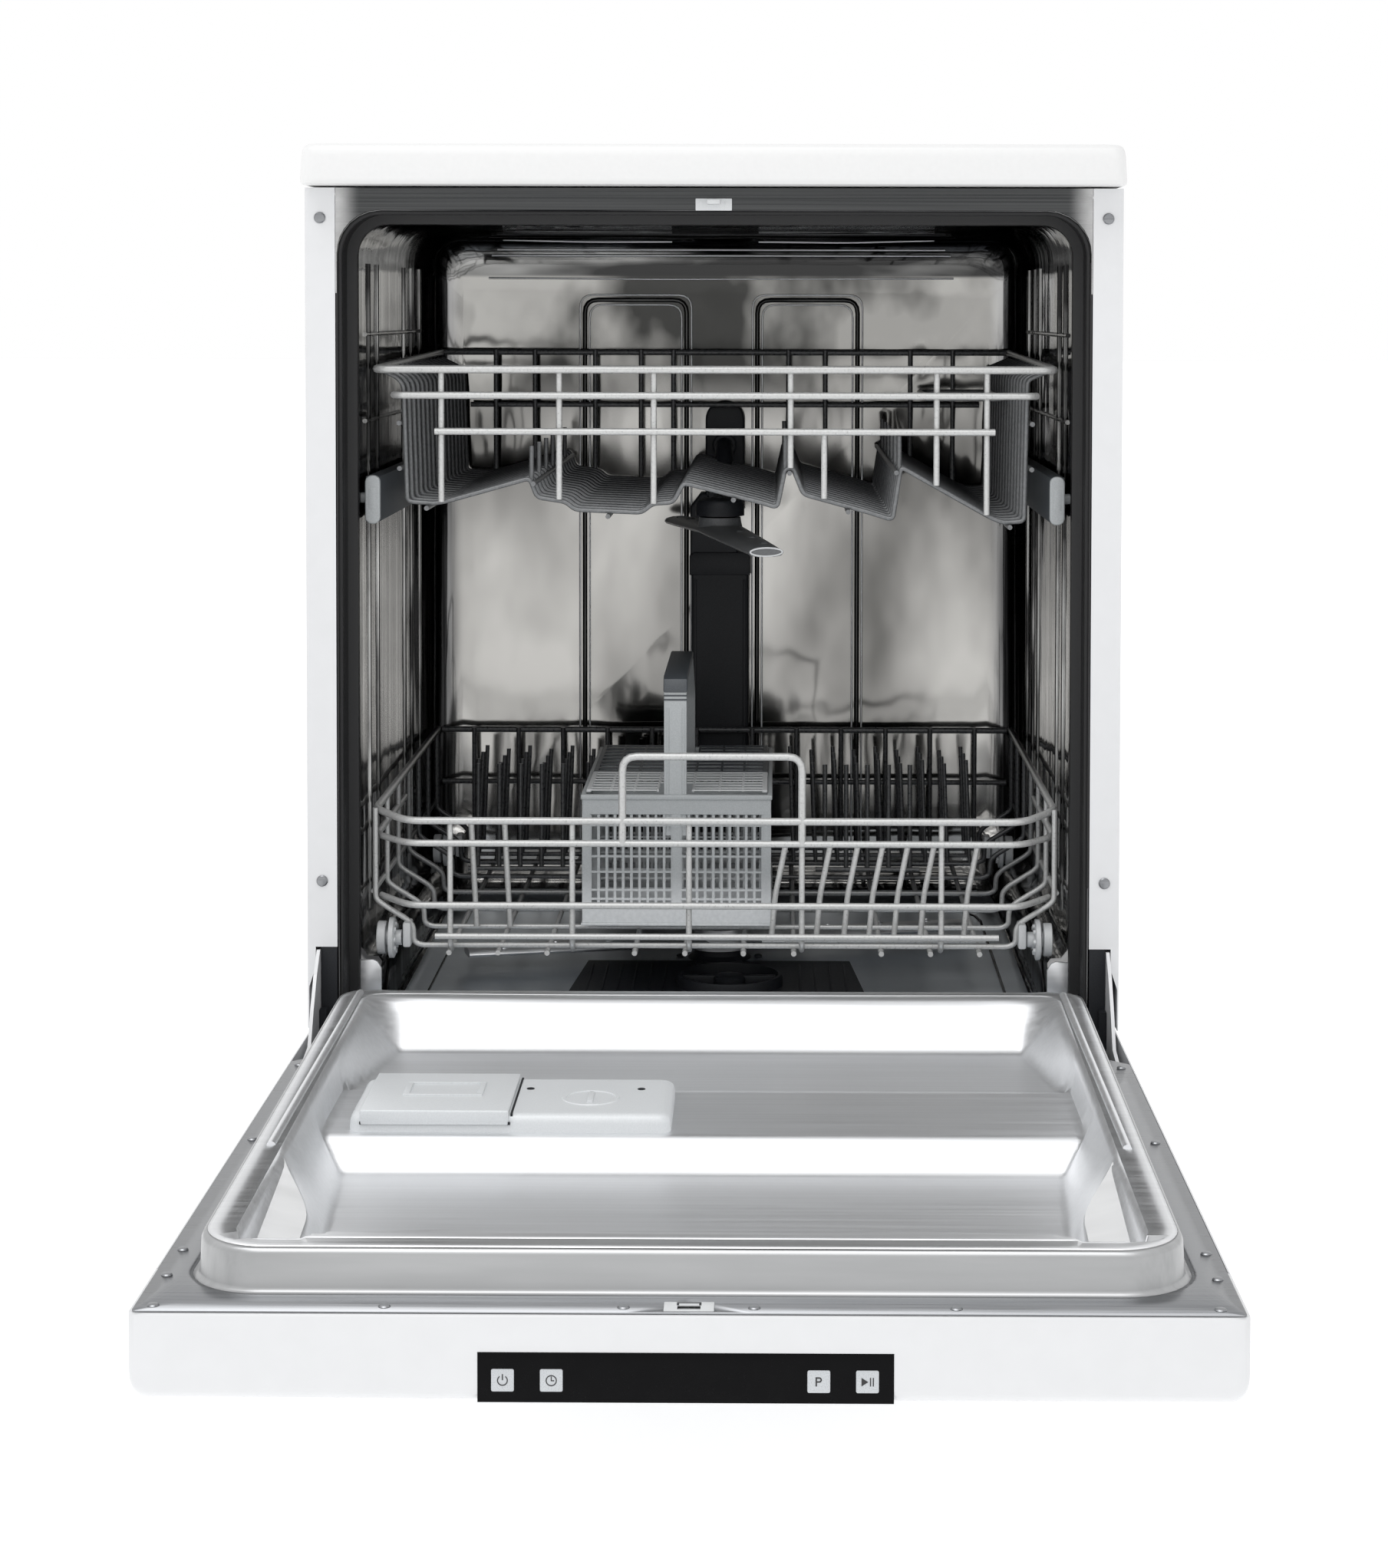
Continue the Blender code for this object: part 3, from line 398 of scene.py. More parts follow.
def make_casing():
    """Gives the nodes that stay as CAD their looks, and puts the screws in the posts."""
    for look, nodes in PLAIN_NODES:
        for node in nodes.split():
            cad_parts[node].data.materials.clear()
            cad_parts[node].data.materials.append(look)
    screws = bmesh.new()
    for side in (-1, 1):
        for z in (792, 304):
            screw_head(screws, (side * 288, -0.3, z), 4.2, "Y", -1.6)
    solid("post_screws", screws, "cabinet", "back_panel", FLANGE_STEEL, ())


# The depth of the tub's back wall
TUB_BACK = 522


def tub_section(half, ledge, floor, top, radius, ledge_top=236):
    """One ring of the tub: rounded top corners, a ledge for the wheels down each side, a flat floor."""
    right = ([(ledge - 10, floor), (ledge - 4, floor + 2), (ledge, floor + 10), (ledge + 0.5, ledge_top - 5),
        (ledge + 4, ledge_top), (half - 6, ledge_top + 0.5), (half, ledge_top + 8)]
        + quarter(half - radius, top - radius, radius, 0, 6))
    return right + [(-x, z) for x, z in reversed(right)]


def make_tub():
    bm = bmesh.new()
    rings = []
    for v, grow in ((0.6, 0), (4, 0), (43.5, -0.4)):
        rings.append([P(x, v, z) for x, z in tub_section(275.5 + grow, 268, 195.5, 797.3 + grow, 32, 206)])
    for v, floor, ledge in ((46, 195, 258), (56, 190.8, 250), (70, 190.3, 247.7), (300, 190.3, 247.7),
            (460, 190.3, 247.7)):
        ledge_top = 206 if v < 50 else 236
        rings.append([P(x, v, z) for x, z in tub_section(267.8, ledge, floor, 794.8, 30, ledge_top)])
    for i in range(1, 7):
        angle = radians(15 * i)
        inset = 30 * (1 - cos(angle))
        v = 492.5 + 30 * sin(angle)
        section = tub_section(267.8 - inset, 247.7 - inset, 190.3 + inset, 794.8 - inset, 30, 236 + inset)
        rings.append([P(x, v, z) for x, z in section])
    loft(bm, rings, close_end=True)
    outward(bm)
    bmesh.ops.reverse_faces(bm, faces=bm.faces)
    tub = solid("tub_shell", bm, "cabinet", "tub", TUB_STEEL, angle=50)
    tub.data.materials.append(FLOOR_STEEL)
    for face in tub.data.polygons:
        if face.center.z < 0.2 and face.normal.z > 0.7:
            face.material_index = 1
    wall = tub.modifiers.new("Wall", "SOLIDIFY")
    wall.thickness = 0.9 * MM
    wall.offset = -1
    flange = bmesh.new()
    prism(flange, [(-276.7, 737), (-276.7, 814), (276.7, 814), (276.7, 737), (275.9, 737), (275.9, 765)]
        + quarter(243.9, 766, 32, 0, 8) + quarter(-243.9, 766, 32, 90, 8) + [(-275.9, 765), (-275.9, 737)],
        "Y", 0.15, 0.9, bevel=0)
    solid("tub_top_flange", flange, "cabinet", "tub", LINTEL_STEEL, ())
    # Painted highlight: the ledges' front faces and a strip across the front of the floor are drawn in a
    # bright steel, a lit copy of the tub's own steel.
    ledges = bmesh.new()
    for side in (-1, 1):
        outline = [(side * x, z) for x, z in [(250.5, 207), (250.5, 229), (253.5, 234), (257, 235.5),
            (266.8, 235.5), (266.8, 207)]]
        prism(ledges, outline, "Y", 46, 49)
    box(ledges, (-247, 247), (4, 13), (195.7, 197.4), 0.7)
    solid("tub_ledge_fronts", ledges, "cabinet", "tub", SATIN_STEEL, ())
    make_tub_relief()


def arch(span, out):
    """A bead of the back wall: up, across and down again, a little outside or inside its centre line."""
    x0, x1, foot, top = span[0] + out, span[1] - out, 225, 734 - out
    return [(x0, TUB_BACK, foot), (x0, TUB_BACK, top), (x1, TUB_BACK, top), (x1, TUB_BACK, foot)]


def make_tub_relief():
    """Pressed relief and painted light: arches on the back wall in painted shade with bright wires along
    their edges as painted highlights, bright wires under the ceiling as painted highlight glints, ribs on
    the sides and the floor's basin in painted shade with light streaks.
    """
    spans = ((-127, -35), (29, 119.5))
    wires("back_wall_beads", [arch(span, 0) for span in spans], 2.2, "cabinet", "tub", BEAD_SHADE_STEEL, (),
        corner=12)
    # Painted highlights: thin bright wires along each side of the beads.
    edges = [arch(span, out) for span in spans for out in (-4.4, 4.4)]
    wires("back_wall_bead_edge_highlights", edges, 0.9, "cabinet", "tub", SATIN_STEEL, (), corner=12)
    # Painted highlights: thin bright wires across the top of the back wall and under the ceiling.
    glints = [[(-214, 521.6, 753.5), (-60, 521.8, 752.6), (206, 521.6, 753.5)],
        [(-211, 519.8, 773.8), (203, 519.8, 773.8)], [(-206, 518.4, 779), (198, 518.4, 779)],
        [(-200, 512.6, 787.6), (-120, 512.6, 785.8), (-48, 513.6, 786.2)],
        [(30, 513.6, 786.2), (110, 512.6, 785.4), (188, 512.6, 787.6)]]
    wires("back_top_glints", glints, 0.9, "cabinet", "tub", SATIN_STEEL, (), corner=20)
    ribs = []
    for x in (-267.6, 267.6):
        ribs += [[(x, v, 262), (x, v, 760)] for v in (110, 160, 330, 380, 440)]
        ribs += [[(x, 90, z), (x, 460, z)] for z in (640, 706)]
    wires("side_wall_ribs", ribs, 1.8, "cabinet", "tub", RIB_SHADE_STEEL, ())
    basin = [(-226, 62, 190.4), (226, 62, 190.4), (226, 470, 190.4), (-226, 470, 190.4)]
    wires("floor_basin_bead", [basin], 1.3, "cabinet", "tub", RIB_SHADE_STEEL, (), corner=55, closed=True)


def mouth_path():
    """The tub's mouth from the lower right corner over the top to the lower left one."""
    half, low, top, radius = 272.8, 206, 794.6, 29.5
    return ([(half, low), (half, low + 100)]
        + quarter(half - radius, top - radius, radius, 0, 10)
        + quarter(-half + radius, top - radius, radius, 90, 10) + [(-half, low + 100), (-half, low)])


def round_mouth(bm, section):
    """Carries a section of (inward distance, depth) pairs along the tub's mouth."""
    path = mouth_path()
    rows = []
    for i, (x, z) in enumerate(path):
        before, after = path[max(i - 1, 0)], path[min(i + 1, len(path) - 1)]
        along = Vector((after[0] - before[0], after[1] - before[1])).normalized()
        rows.append([bm.verts.new(P(x - along.y * a, v, z + along.x * a)) for a, v in section])
    tube(bm, rows)


def make_seal():
    bead = bmesh.new()
    round_mouth(bead, [(-2.4, 3.4), (-2.4, 13.4), (-0.6, 13.6), (0.1, 12.2), (0.3, 9), (-0.4, 7.6), (0.3, 6),
        (0.1, 4), (-0.6, 3.2)])
    solid("door_seal_bead", bead, "cabinet", "tub_seal", RUBBER)
    backing = bmesh.new()
    round_mouth(backing, [(-2.2, 17.6), (-1.4, 17.6), (-1.4, 42.4), (6, 43.2), (6.4, 50), (5.4, 52),
        (5.3, 45.2), (-2.2, 44.6)])
    solid("door_seal_backing", backing, "cabinet", "tub_seal", RUBBER, ())
    lips = bmesh.new()
    for x in (-275.8, 275.8):
        box(lips, (x - 0.6, x + 0.6), (0.2, 18), (300, 760), 0.4)
    solid("door_seal_channel", lips, "cabinet", "tub_seal", RUBBER, ())


def make_strike():
    bm = bmesh.new()
    box(bm, (-13.3, 13.3), (-1.2, -0.1), (797.6, 806.4), 0.5)
    box(bm, (-4.8, 4.8), (-13.8, -1), (801.9, 805.4), 0.6)
    for x in (-9.5, 9.5):
        box(bm, (x - 1.6, x + 1.6), (-1.35, -1), (799.5, 804.5), 0.1)
    solid("strike_block", bm, "cabinet", "door_strike", PALE_PLASTIC)


# Inside the tub

# The depth of the axis that both spray arms turn about
ARM_V = 268


def make_feed_duct():
    bm = bmesh.new()
    neck = ([(-17.5, 545), (17.5, 545)] + quarter(0.5, 626.5, 17, 0, 8) + quarter(-0.5, 626.5, 17, 90, 8))
    shaft = [(-30.2, 191.5), (21.4, 191.5), (21.4, 492), (-30.2, 492)]
    collar = [(-31.8, 486), (22.8, 486), (22.8, 503), (19, 506.5), (-28, 506.5), (-31.8, 503)]
    shoulder = [(-31, 504), (12, 504), (12, 548), (6, 560), (-22, 560), (-31, 548)]
    for outline, front, bevel, segments in ((shaft, 506, 2.5, 3), (collar, 504.9, 1.2, 2),
            (shoulder, 507, 2, 3), (neck, 507, 2, 3)):
        prism(bm, outline, "Y", front, TUB_BACK, bevel, segments)
    for x in (-26.5, 17.7):
        box(bm, (x - 1.2, x + 1.2), (504.9, 507), (210, 482), 0.5)
    lathe(bm, (0, 497.5, 604), [(10.8, 0), (10.8, 8), (8.5, 9), (8.5, 12)], 28, "Y")
    solid("feed_duct_shell", bm, "cabinet", "rear_feed_duct", DARK_PLASTIC)


def make_filter():
    bm = bmesh.new()
    prism(bm, [(-121, 71), (121, 71), (107, 250), (-107, 250)], "Z", 190.5, 191.3, 0)
    for i in range(18):
        x = -102 + 12 * i
        box(bm, (x - 0.8, x + 0.8), (76, 112), (191.2, 192.2), 0.3)
        if abs(x - 10) > 50:
            box(bm, (x - 0.8, x + 0.8), (116, 236), (191.2, 192.2), 0.3)
    lathe(bm, (0, ARM_V, 0), [(26, 190.6), (24, 192.5), (21, 194.5), (19.5, 199), (8, 199.2)], 36)
    for angle in around(6):
        lathe(bm, (32 * cos(angle), ARM_V + 32 * sin(angle), 0),
            [(3.2, 190.6), (3.2, 192.2), (2, 192.8)], 12)
    solid("filter_mesh_plate", bm, "cabinet", "filter_plate", DARK_PLASTIC)
    cup = bmesh.new()
    x, v = 10, 165
    lathe(cup, (x, v, 0), [(37.5, 154), (42, 152), (42, 196), (41, 199.6), (38.6, 199.6), (38, 196),
        (38, 156), (4, 156)], 40)
    for angle in around(12):
        lathe(cup, (x + 30 * cos(angle), v + 30 * sin(angle), 0), [(2.2, 157), (2.2, 190), (1.4, 192)],
            10)
    box(cup, (x - 37, x + 37), (v - 2.4, v + 2.4), (186.3, 198.6), 1.2)
    lathe(cup, (x, v, 0), [(13, 184), (13, 196.5), (11, 198.5), (6, 199)], 28)
    solid("filter_cup_body", cup, "filter_cup", "filter_cup", DARK_PLASTIC)


def turn_arm(bm, heading):
    bmesh.ops.rotate(bm, verts=bm.verts, cent=P(0, ARM_V, 0),
        matrix=Matrix.Rotation(radians(heading), 3, "Z"))


BLADE_SECTION = ((-1, 0.4), (-0.86, 0.12), (-0.5, 0), (0.5, 0), (0.86, 0.12), (1, 0.4), (0.86, 0.75),
    (0.45, 1), (-0.45, 1), (-0.86, 0.75))


def spray_blade(bm, height, half, thick, wide, tip, droop=0):
    """A spray arm's blade: crowned along its length, tapered to blunt ends that may hang a little."""
    steps = 30
    rows = []
    for i in range(steps + 1):
        share = -1 + 2 * i / steps
        width = wide + (tip - wide) * abs(share) ** 1.3
        crown = thick * (1 - 0.1 * abs(share))
        base = height - droop * abs(share)
        rows.append([bm.verts.new(P(half * share, ARM_V + width * a, base + crown * b))
            for a, b in BLADE_SECTION])
    tube(bm, rows)


def make_lower_arm():
    bm = bmesh.new()
    spray_blade(bm, 203.2, 211, 7.6, 21, 13)
    for share in (-0.86, -0.66, -0.45, -0.25, 0.25, 0.45, 0.66, 0.86):
        lathe(bm, (211 * share, ARM_V + 5 * copysign(1, share), 0),
            [(4.2, 209), (4.2, 210.8), (2.6, 211.4), (2, 210.6)], 16)
    lathe(bm, (0, ARM_V, 0), [(24, 199.5), (24, 209.5), (20, 212.5), (19, 215.8), (8, 215.9)], 36)
    turn_arm(bm, 15.8)
    solid("lower_arm_blade", bm, "lower_spray_arm", "lower_spray_arm", SATIN_STEEL)


def make_upper_arm():
    heading, half = 102.6, 177
    bm = bmesh.new()
    spray_blade(bm, 541.4, half, 8.2, 20, 13.5, 5)
    for share in (-0.85, -0.6, -0.35, 0.35, 0.6, 0.85):
        lathe(bm, (half * share, ARM_V + 4 * copysign(1, share), -5 * abs(share)),
            [(3.8, 546.5), (3.8, 549.6), (2.4, 550), (1.8, 549.2)], 16)
    lathe(bm, (0, ARM_V, 0), [(18.5, 547), (17.5, 551), (17, 555), (8, 555.1)], 36)
    turn_arm(bm, heading)
    solid("upper_arm_blade", bm, "upper_spray_arm", "upper_spray_arm", ARM_PLASTIC)
    cosine, sine = cos(radians(heading)), sin(radians(heading))
    ends = []
    for along in (-half - 0.3, half + 0.3):
        ovals = [(12.6 * cos(turn), 540.1 + 3.2 * sin(turn)) for turn in around(24)]
        ends.append([(along * cosine - across * sine, ARM_V + along * sine + across * cosine, z)
            for across, z in ovals])
    wires("upper_arm_ends", ends, 0.7, "upper_spray_arm", "upper_spray_arm", PALE_PLASTIC, (), corner=1,
        closed=True)


# Upper rack

RACK_FRONT, RACK_BACK = 46, 497
UPPER_MAT = [(-254, 681.5), (-238, 674), (-233.7, 668), (-231, 581), (-210.5, 579.5), (-199.8, 581.6),
    (-139, 598.7), (-133.5, 584.3), (-112, 581), (-105, 575), (-55, 573), (-46.7, 579.8), (-31.5, 580.7),
    (-23.5, 595), (-18, 594), (34, 581), (46.8, 577), (52.7, 605.7), (58.5, 606.7), (66.5, 587), (114, 574),
    (133.5, 568), (139.5, 607.7), (206.6, 570), (216.4, 566), (232, 567), (234, 673), (254, 681.5)]


def make_upper_rack():
    depths = [54 + 29.2 * i for i in range(16)]
    mat = [[(x, v, z) for x, z in UPPER_MAT] for v in depths]
    wires("upper_mat_wires", mat, 1.75, "upper_rack", "upper_rack_floor", SHADED_MAT_WIRE,
        ["upper_rack_floor", "upper_rack_side_left", "upper_rack_side_right"], 4)
    rods = [[(x, 48, z), (x, 494, z)] for x, z in
        ((-236.5, 640), (237.5, 640), (-216, 576.2), (-136, 594.6), (-80, 570.2), (14, 582.8), (56, 603),
        (100, 574), (136, 603.5), (221, 562.8), (-236.2, 606), (237.2, 606))]
    wires("upper_mat_rods", rods, 1.9, "upper_rack", "upper_rack_floor", SHADED_MAT_WIRE, ())
    front, back = RACK_FRONT, RACK_BACK
    rim = [(254, back, 687), (254, front, 680.5), (-254, front, 680.5), (-254, back, 687)]
    rails = [(rim, 3), ([(241, front + 6, 661), (236, front, 661), (-236, front, 661),
        (-241, front + 6, 661)], 2.7), ([(-209.5, front, 634), (209.5, front, 634)], 2.6)]
    uprights = [([(x, front + 3.5, 682.5), (x, front + 3.5, low)], 2.3)
        for x, low in ((-205, 581), (-116.6, 583), (-45.8, 580), (56.7, 607), (166, 594), (203.6, 572))]
    uprights.append(([(81.9, front + 3.5, 634), (81.9, front + 3.5, 584)], 2.3))
    wires("upper_rack_front_grid", rails + uprights, 3, "upper_rack", "upper_rack_front", COATED_WIRE,
        corner=9)
    rear = [([(-253, back, 687), (253, back, 687)], 2.7), ([(-228, back, 640), (228, back, 640)], 2.3)]
    rear += [([(x, back - 3, 689), (x, back - 3, low)], 2.1)
        for x, low in ((-205, 582), (-170, 588), (-116, 583), (-75, 574), (-46, 580), (57, 607), (90, 582),
        (166, 594), (204, 572))]
    wires("upper_rack_back_grid", rear, 2.7, "upper_rack", "upper_rack_back", COATED_WIRE, corner=9)
    make_upper_rails()
    make_upper_feed()
    make_cup_shelf()
    make_glass_tines()


def make_glass_tines():
    rows = [[(x, v, z - 4), (x, v + 2, z + 22)] for x, z in ((-139, 600), (53, 606), (139, 608))
        for v in range(70, 431, 72)]
    wires("upper_rack_tines", rows, 1.8, "upper_rack", "upper_rack_floor", SHADED_MAT_WIRE, ())


def make_upper_rails():
    for side, sign in (("left", -1), ("right", 1)):
        bm = bmesh.new()
        section = [(251.2, 566.3), (261.8, 566.3), (261.8, 569.2), (254.3, 569.2), (254.3, 596.8),
            (261.8, 596.8), (261.8, 599.8), (251.2, 599.8)]
        prism(bm, [(sign * x, z) for x, z in section], "Y", 49.5, 495.5, 0.6)
        solid(f"upper_rail_channel_{side}", bm, "upper_rack", f"upper_rail_{side}", SLATE_PLASTIC)
        cap = bmesh.new()
        outline = rounded(5.6, 564.6, 600.9, 5, 5)
        prism(cap, [(sign * 256.2 + x, z) for x, z in outline], "Y", 45.1, 50.6, 1.2, 3)
        box(cap, (sign * 253.5, sign * 259.5), (44.9, 46), (575, 592), 0.8)
        solid(f"upper_rail_cap_{side}", cap, "upper_rack", f"upper_rail_{side}", GREY_PLASTIC, ())
        roller = bmesh.new()
        lathe(roller, (sign * 258, 66, 583), [(4, -3.4), (9, -3.4), (12, -3.1), (13.3, -2.4), (13.3, 2.4),
            (12, 3.1), (9, 3.4), (4, 3.4)], 36, "X")
        lathe(roller, (sign * 263.6, 66, 583), [(3.9, -3.9), (3.9, 3.9)], 20, "X")
        solid(f"rail_roller_wheel_{side}", roller, f"rail_roller_{side}", f"rail_roller_{side}",
            GREY_PLASTIC)


def make_upper_feed():
    path = [(0, 493, 604), (0, 472, 603), (0, 452, 564), (0, 270, 564)]
    wires("upper_feed_pipe", [path], 8, "upper_rack", "upper_spray_feed", DARK_PLASTIC, corner=14)
    bm = bmesh.new()
    lathe(bm, (0, ARM_V, 0), [(14, 556), (20, 556.4), (20, 566), (18, 569), (12, 570.8)], 32)
    lathe(bm, (0, 484, 604), [(9.6, 0), (11, 1), (11, 6), (9.2, 7.5)], 28, "Y")
    for v in (330, 400):
        box(bm, (-11, 11), (v - 4, v + 4), (555.8, 573.5), 1.5)
    solid("upper_feed_fittings", bm, "upper_rack", "upper_spray_feed", DARK_PLASTIC, ())


def make_cup_shelf():
    v0, v1 = 212, 398
    frame_wire = [(228.5, v0, 655), (169, v0, 655), (169, v1, 655), (228.5, v1, 655)]
    paths = [frame_wire, [(228.5, v0 - 2, 655), (228.5, v1 + 2, 655)]]
    paths += [[(228.5, v, 653.2), (167.4, v, 653.2)] for v in (243, 274, 305, 336, 367)]
    wires("cup_shelf_wires", paths, 1.9, "cup_shelf", "cup_shelf", COATED_WIRE, corner=10)


# Lower rack

def make_lower_rack():
    front, back = RACK_FRONT, RACK_BACK
    side = [(257, 348), (257, 279), (252.5, 275), (233, 263), (228.5, 258), (228, 246), (222, 243.5)]
    cross = [[(-x, 62 + 69.3 * i, z) for x, z in side] + [(x, 62 + 69.3 * i, z) for x, z in reversed(side)]
        for i in range(7)]
    rods = [[(x, 49, 240.3), (x, 494, 240.3)] for x in (-200, -163, -126, -60, -22, 22, 60, 126, 163, 200)]
    rods += [[(s * 259.4, 70, 283), (s * 259.4, 492, 283)] for s in (-1, 1)]
    wires("lower_floor_wires", cross + rods, 2.1, "lower_rack", "lower_rack_floor", COATED_WIRE,
        ["lower_rack_floor", "lower_rack_side_left", "lower_rack_side_right"], 7)
    rim = [(257.5, back, 347.5), (257.5, front + 24, 346), (232, front, 341), (-232, front, 341),
        (-257.5, front + 24, 346), (-257.5, back, 347.5)]
    rail2 = [(257.5, 250, 326), (257, front + 26, 326), (231, front, 324), (-231, front, 324),
        (-257, front + 26, 326), (-257.5, 250, 326)]
    rail3 = [(253.5, front + 24, 280), (230, front, 277), (-230, front, 277), (-253.5, front + 24, 280)]
    front_grid = [(rim, 2.9), (rail2, 2.6), (rail3, 2.6), ([(-210, front, 253.5), (214, front, 253.5)], 2.4)]
    front_grid += [([(x, front + 3.5, 343), (x, front + 3.5, 246), (x, front + 14, 241)], 2.2)
        for x in (-199, -107, -19, 66, 171)]
    loop = [(-69, front, 323), (-69, front, 390), (66, front, 390), (66, front, 323)]
    wires("lower_rack_pull_loop", [loop], 2.9, "lower_rack", "lower_rack_pull", COATED_WIRE, corner=11)
    wires("lower_rack_front_grid", front_grid, 2.9, "lower_rack", "lower_rack_front", COATED_WIRE, corner=11)
    rear = [([(-254, back, 347), (254, back, 347)], 2.7), ([(-254, back, 300), (254, back, 300)], 2.3)]
    rear += [([(x, back - 3, 349), (x, back - 3, 246), (x, back - 12, 241)], 2.1)
        for x in (-225, -185, -145, -105, -65, -25, 25, 65, 105, 145, 185, 225)]
    wires("lower_rack_back_grid", rear, 2.7, "lower_rack", "lower_rack_back", COATED_WIRE, corner=10)
    make_plate_tines()
    make_wheels()


def make_plate_tines():
    """Leaning tines at the back, shorter ones at the front, and the two rows that fold."""
    tall = []
    for v in (385, 425, 465):
        tall.append([(-215, v, 247), (215, v, 247)])
        for side in (-1, 1):
            tall += [[(side * (62 + 19 * i), v, 246), (side * (59 + 19 * i), v + 8, 336 - 3 * (i % 2))]
                for i in range(9)]
    wires("plate_tines", tall, 1.9, "lower_rack", "lower_rack_floor", COATED_WIRE, ())
    short = [[(36, 72, 246), (206, 72, 246)]]
    short += [[(x, 72, 245), (x + 3, 73, 280), (x + 11, 75, 319)] for x in (43, 77, 98, 117, 136, 156, 189)]
    short += [[(x, 120, 246), (x - 5, 126, 330)] for x in (-186, -160)]
    wires("bowl_tines", short, 2.3, "lower_rack", "lower_rack_floor", COATED_WIRE, ())
    for side, first in (("left", -206), ("right", 88)):
        paths = [[(first - 8, 330, 252), (first + 80, 330, 252)]]
        paths += [[(first + 18 * i, 332, 250.5), (first + 18 * i, 338, 340)] for i in range(5)]
        wires(f"folding_tines_{side}", paths, 2, f"tine_row_{side}", f"tine_row_{side}", COATED_WIRE)


def make_wheels():
    height = 249
    tread = [(10.4, -3.4), (12, -3.2), (12.45, -2.6), (12.45, 2.6), (12, 3.2), (10.4, 3.4)]
    disc = [(13.8, -2), (15.4, -1.6), (15.4, 1.6), (13.8, 2.4)]
    hub = [(5, -6.8), (5.8, -6), (5.8, 6)]
    for end, v in (("front", 63), ("back", 440)):
        for side, sign in (("left", -1), ("right", 1)):
            bm = bmesh.new()
            for x, profile, sides in ((252, tread, 40), (244.5, disc, 40), (243.2, hub, 24)):
                lathe(bm, (sign * x, v, height), profile, sides, "X")
            for angle in around(8):
                lathe(bm, (sign * 242.4, v + 10 * cos(angle), height + 10 * sin(angle)),
                    [(1.6, -1.6), (2.2, 1.6)], 8, "X")
            name = f"rack_wheel_{end}_{side}"
            solid(name + "_tread", bm, name, name, PALE_PLASTIC)
            clip = bmesh.new()
            box(clip, (sign * 229.5, sign * 235.6), (v - 9, v + 9), (243, 262), 1.6)
            solid(name + "_clip", clip, "lower_rack", "lower_rack_floor", PALE_PLASTIC, ())


# Cutlery basket

# The basket's limits in x, depth and height
BASKET = (-103.6, 43.6, 96.4, 351.6, 251.4, 352.8)


def make_basket():
    x0, x1, v0, v1, z0, z1 = BASKET
    bm = bmesh.new()
    box(bm, (x0, x1), (v0, v1), (z0, z0 + 2), 0.6)
    for v in (v0 + 1, v1 - 3):
        lattice(bm, "Y", x0 + 1, x1 - 1, v, v + 2)
    for x in (x0 + 1, x1 - 3):
        lattice(bm, "X", v0 + 3.1, v1 - 3.1, x, x + 2)
    for v in (v0 + 86, v0 + 170):
        lattice(bm, "Y", x0 + 3.1, x1 - 3.1, v, v + 1.6)
    for ring in ((x0, x1, v0, v0 + 4), (x0, x1, v1 - 4, v1), (x0, x0 + 4, v0 + 3.9, v1 - 3.9),
            (x1 - 4, x1, v0 + 3.9, v1 - 3.9)):
        box(bm, ring[:2], ring[2:], (z1 - 4, z1), 0.9)
    solid("basket_lattice", bm, "cutlery_basket", "cutlery_basket", GREY_PLASTIC)
    make_basket_handle()
    make_basket_lids()


def lattice(bm, facing, a0, a1, low, high):
    """One wall of the basket: solid bands, posts, belts and thin slats, each set back a little further."""
    z0, z1 = BASKET[4] + 2, BASKET[5] - 3.5

    def bar(a, z, inset, bevel=0.4):
        across = (low + inset, high - inset)
        if facing == "Y":
            box(bm, a, across, z, bevel, 1)
        else:
            box(bm, across, a, z, bevel, 1)

    bar((a0, a1), (z1 - 12, z1), 0)
    bar((a0, a1), (z0, z0 + 11), 0)
    third = (a1 - a0) / 3
    between = [(a0 + a1) / 2] if facing == "Y" else [a0 + third, a1 - third]
    for a in (a0 + 3, a1 - 3, *between):
        bar((a - 3, a + 3), (z0 + 10, z1 - 11), 0.1, 0)
    for z in (272, 279, 293, 305, 317, 329):
        bar((a0 + 1, a1 - 1), (z - 0.8, z + 0.8), 0.25, 0)
    count = round((a1 - a0) / 6.3)
    for i in range(1, count):
        a = a0 + (a1 - a0) * i / count
        bar((a - 1, a + 1), (z0 + 10, z1 - 11), 0.4, 0)


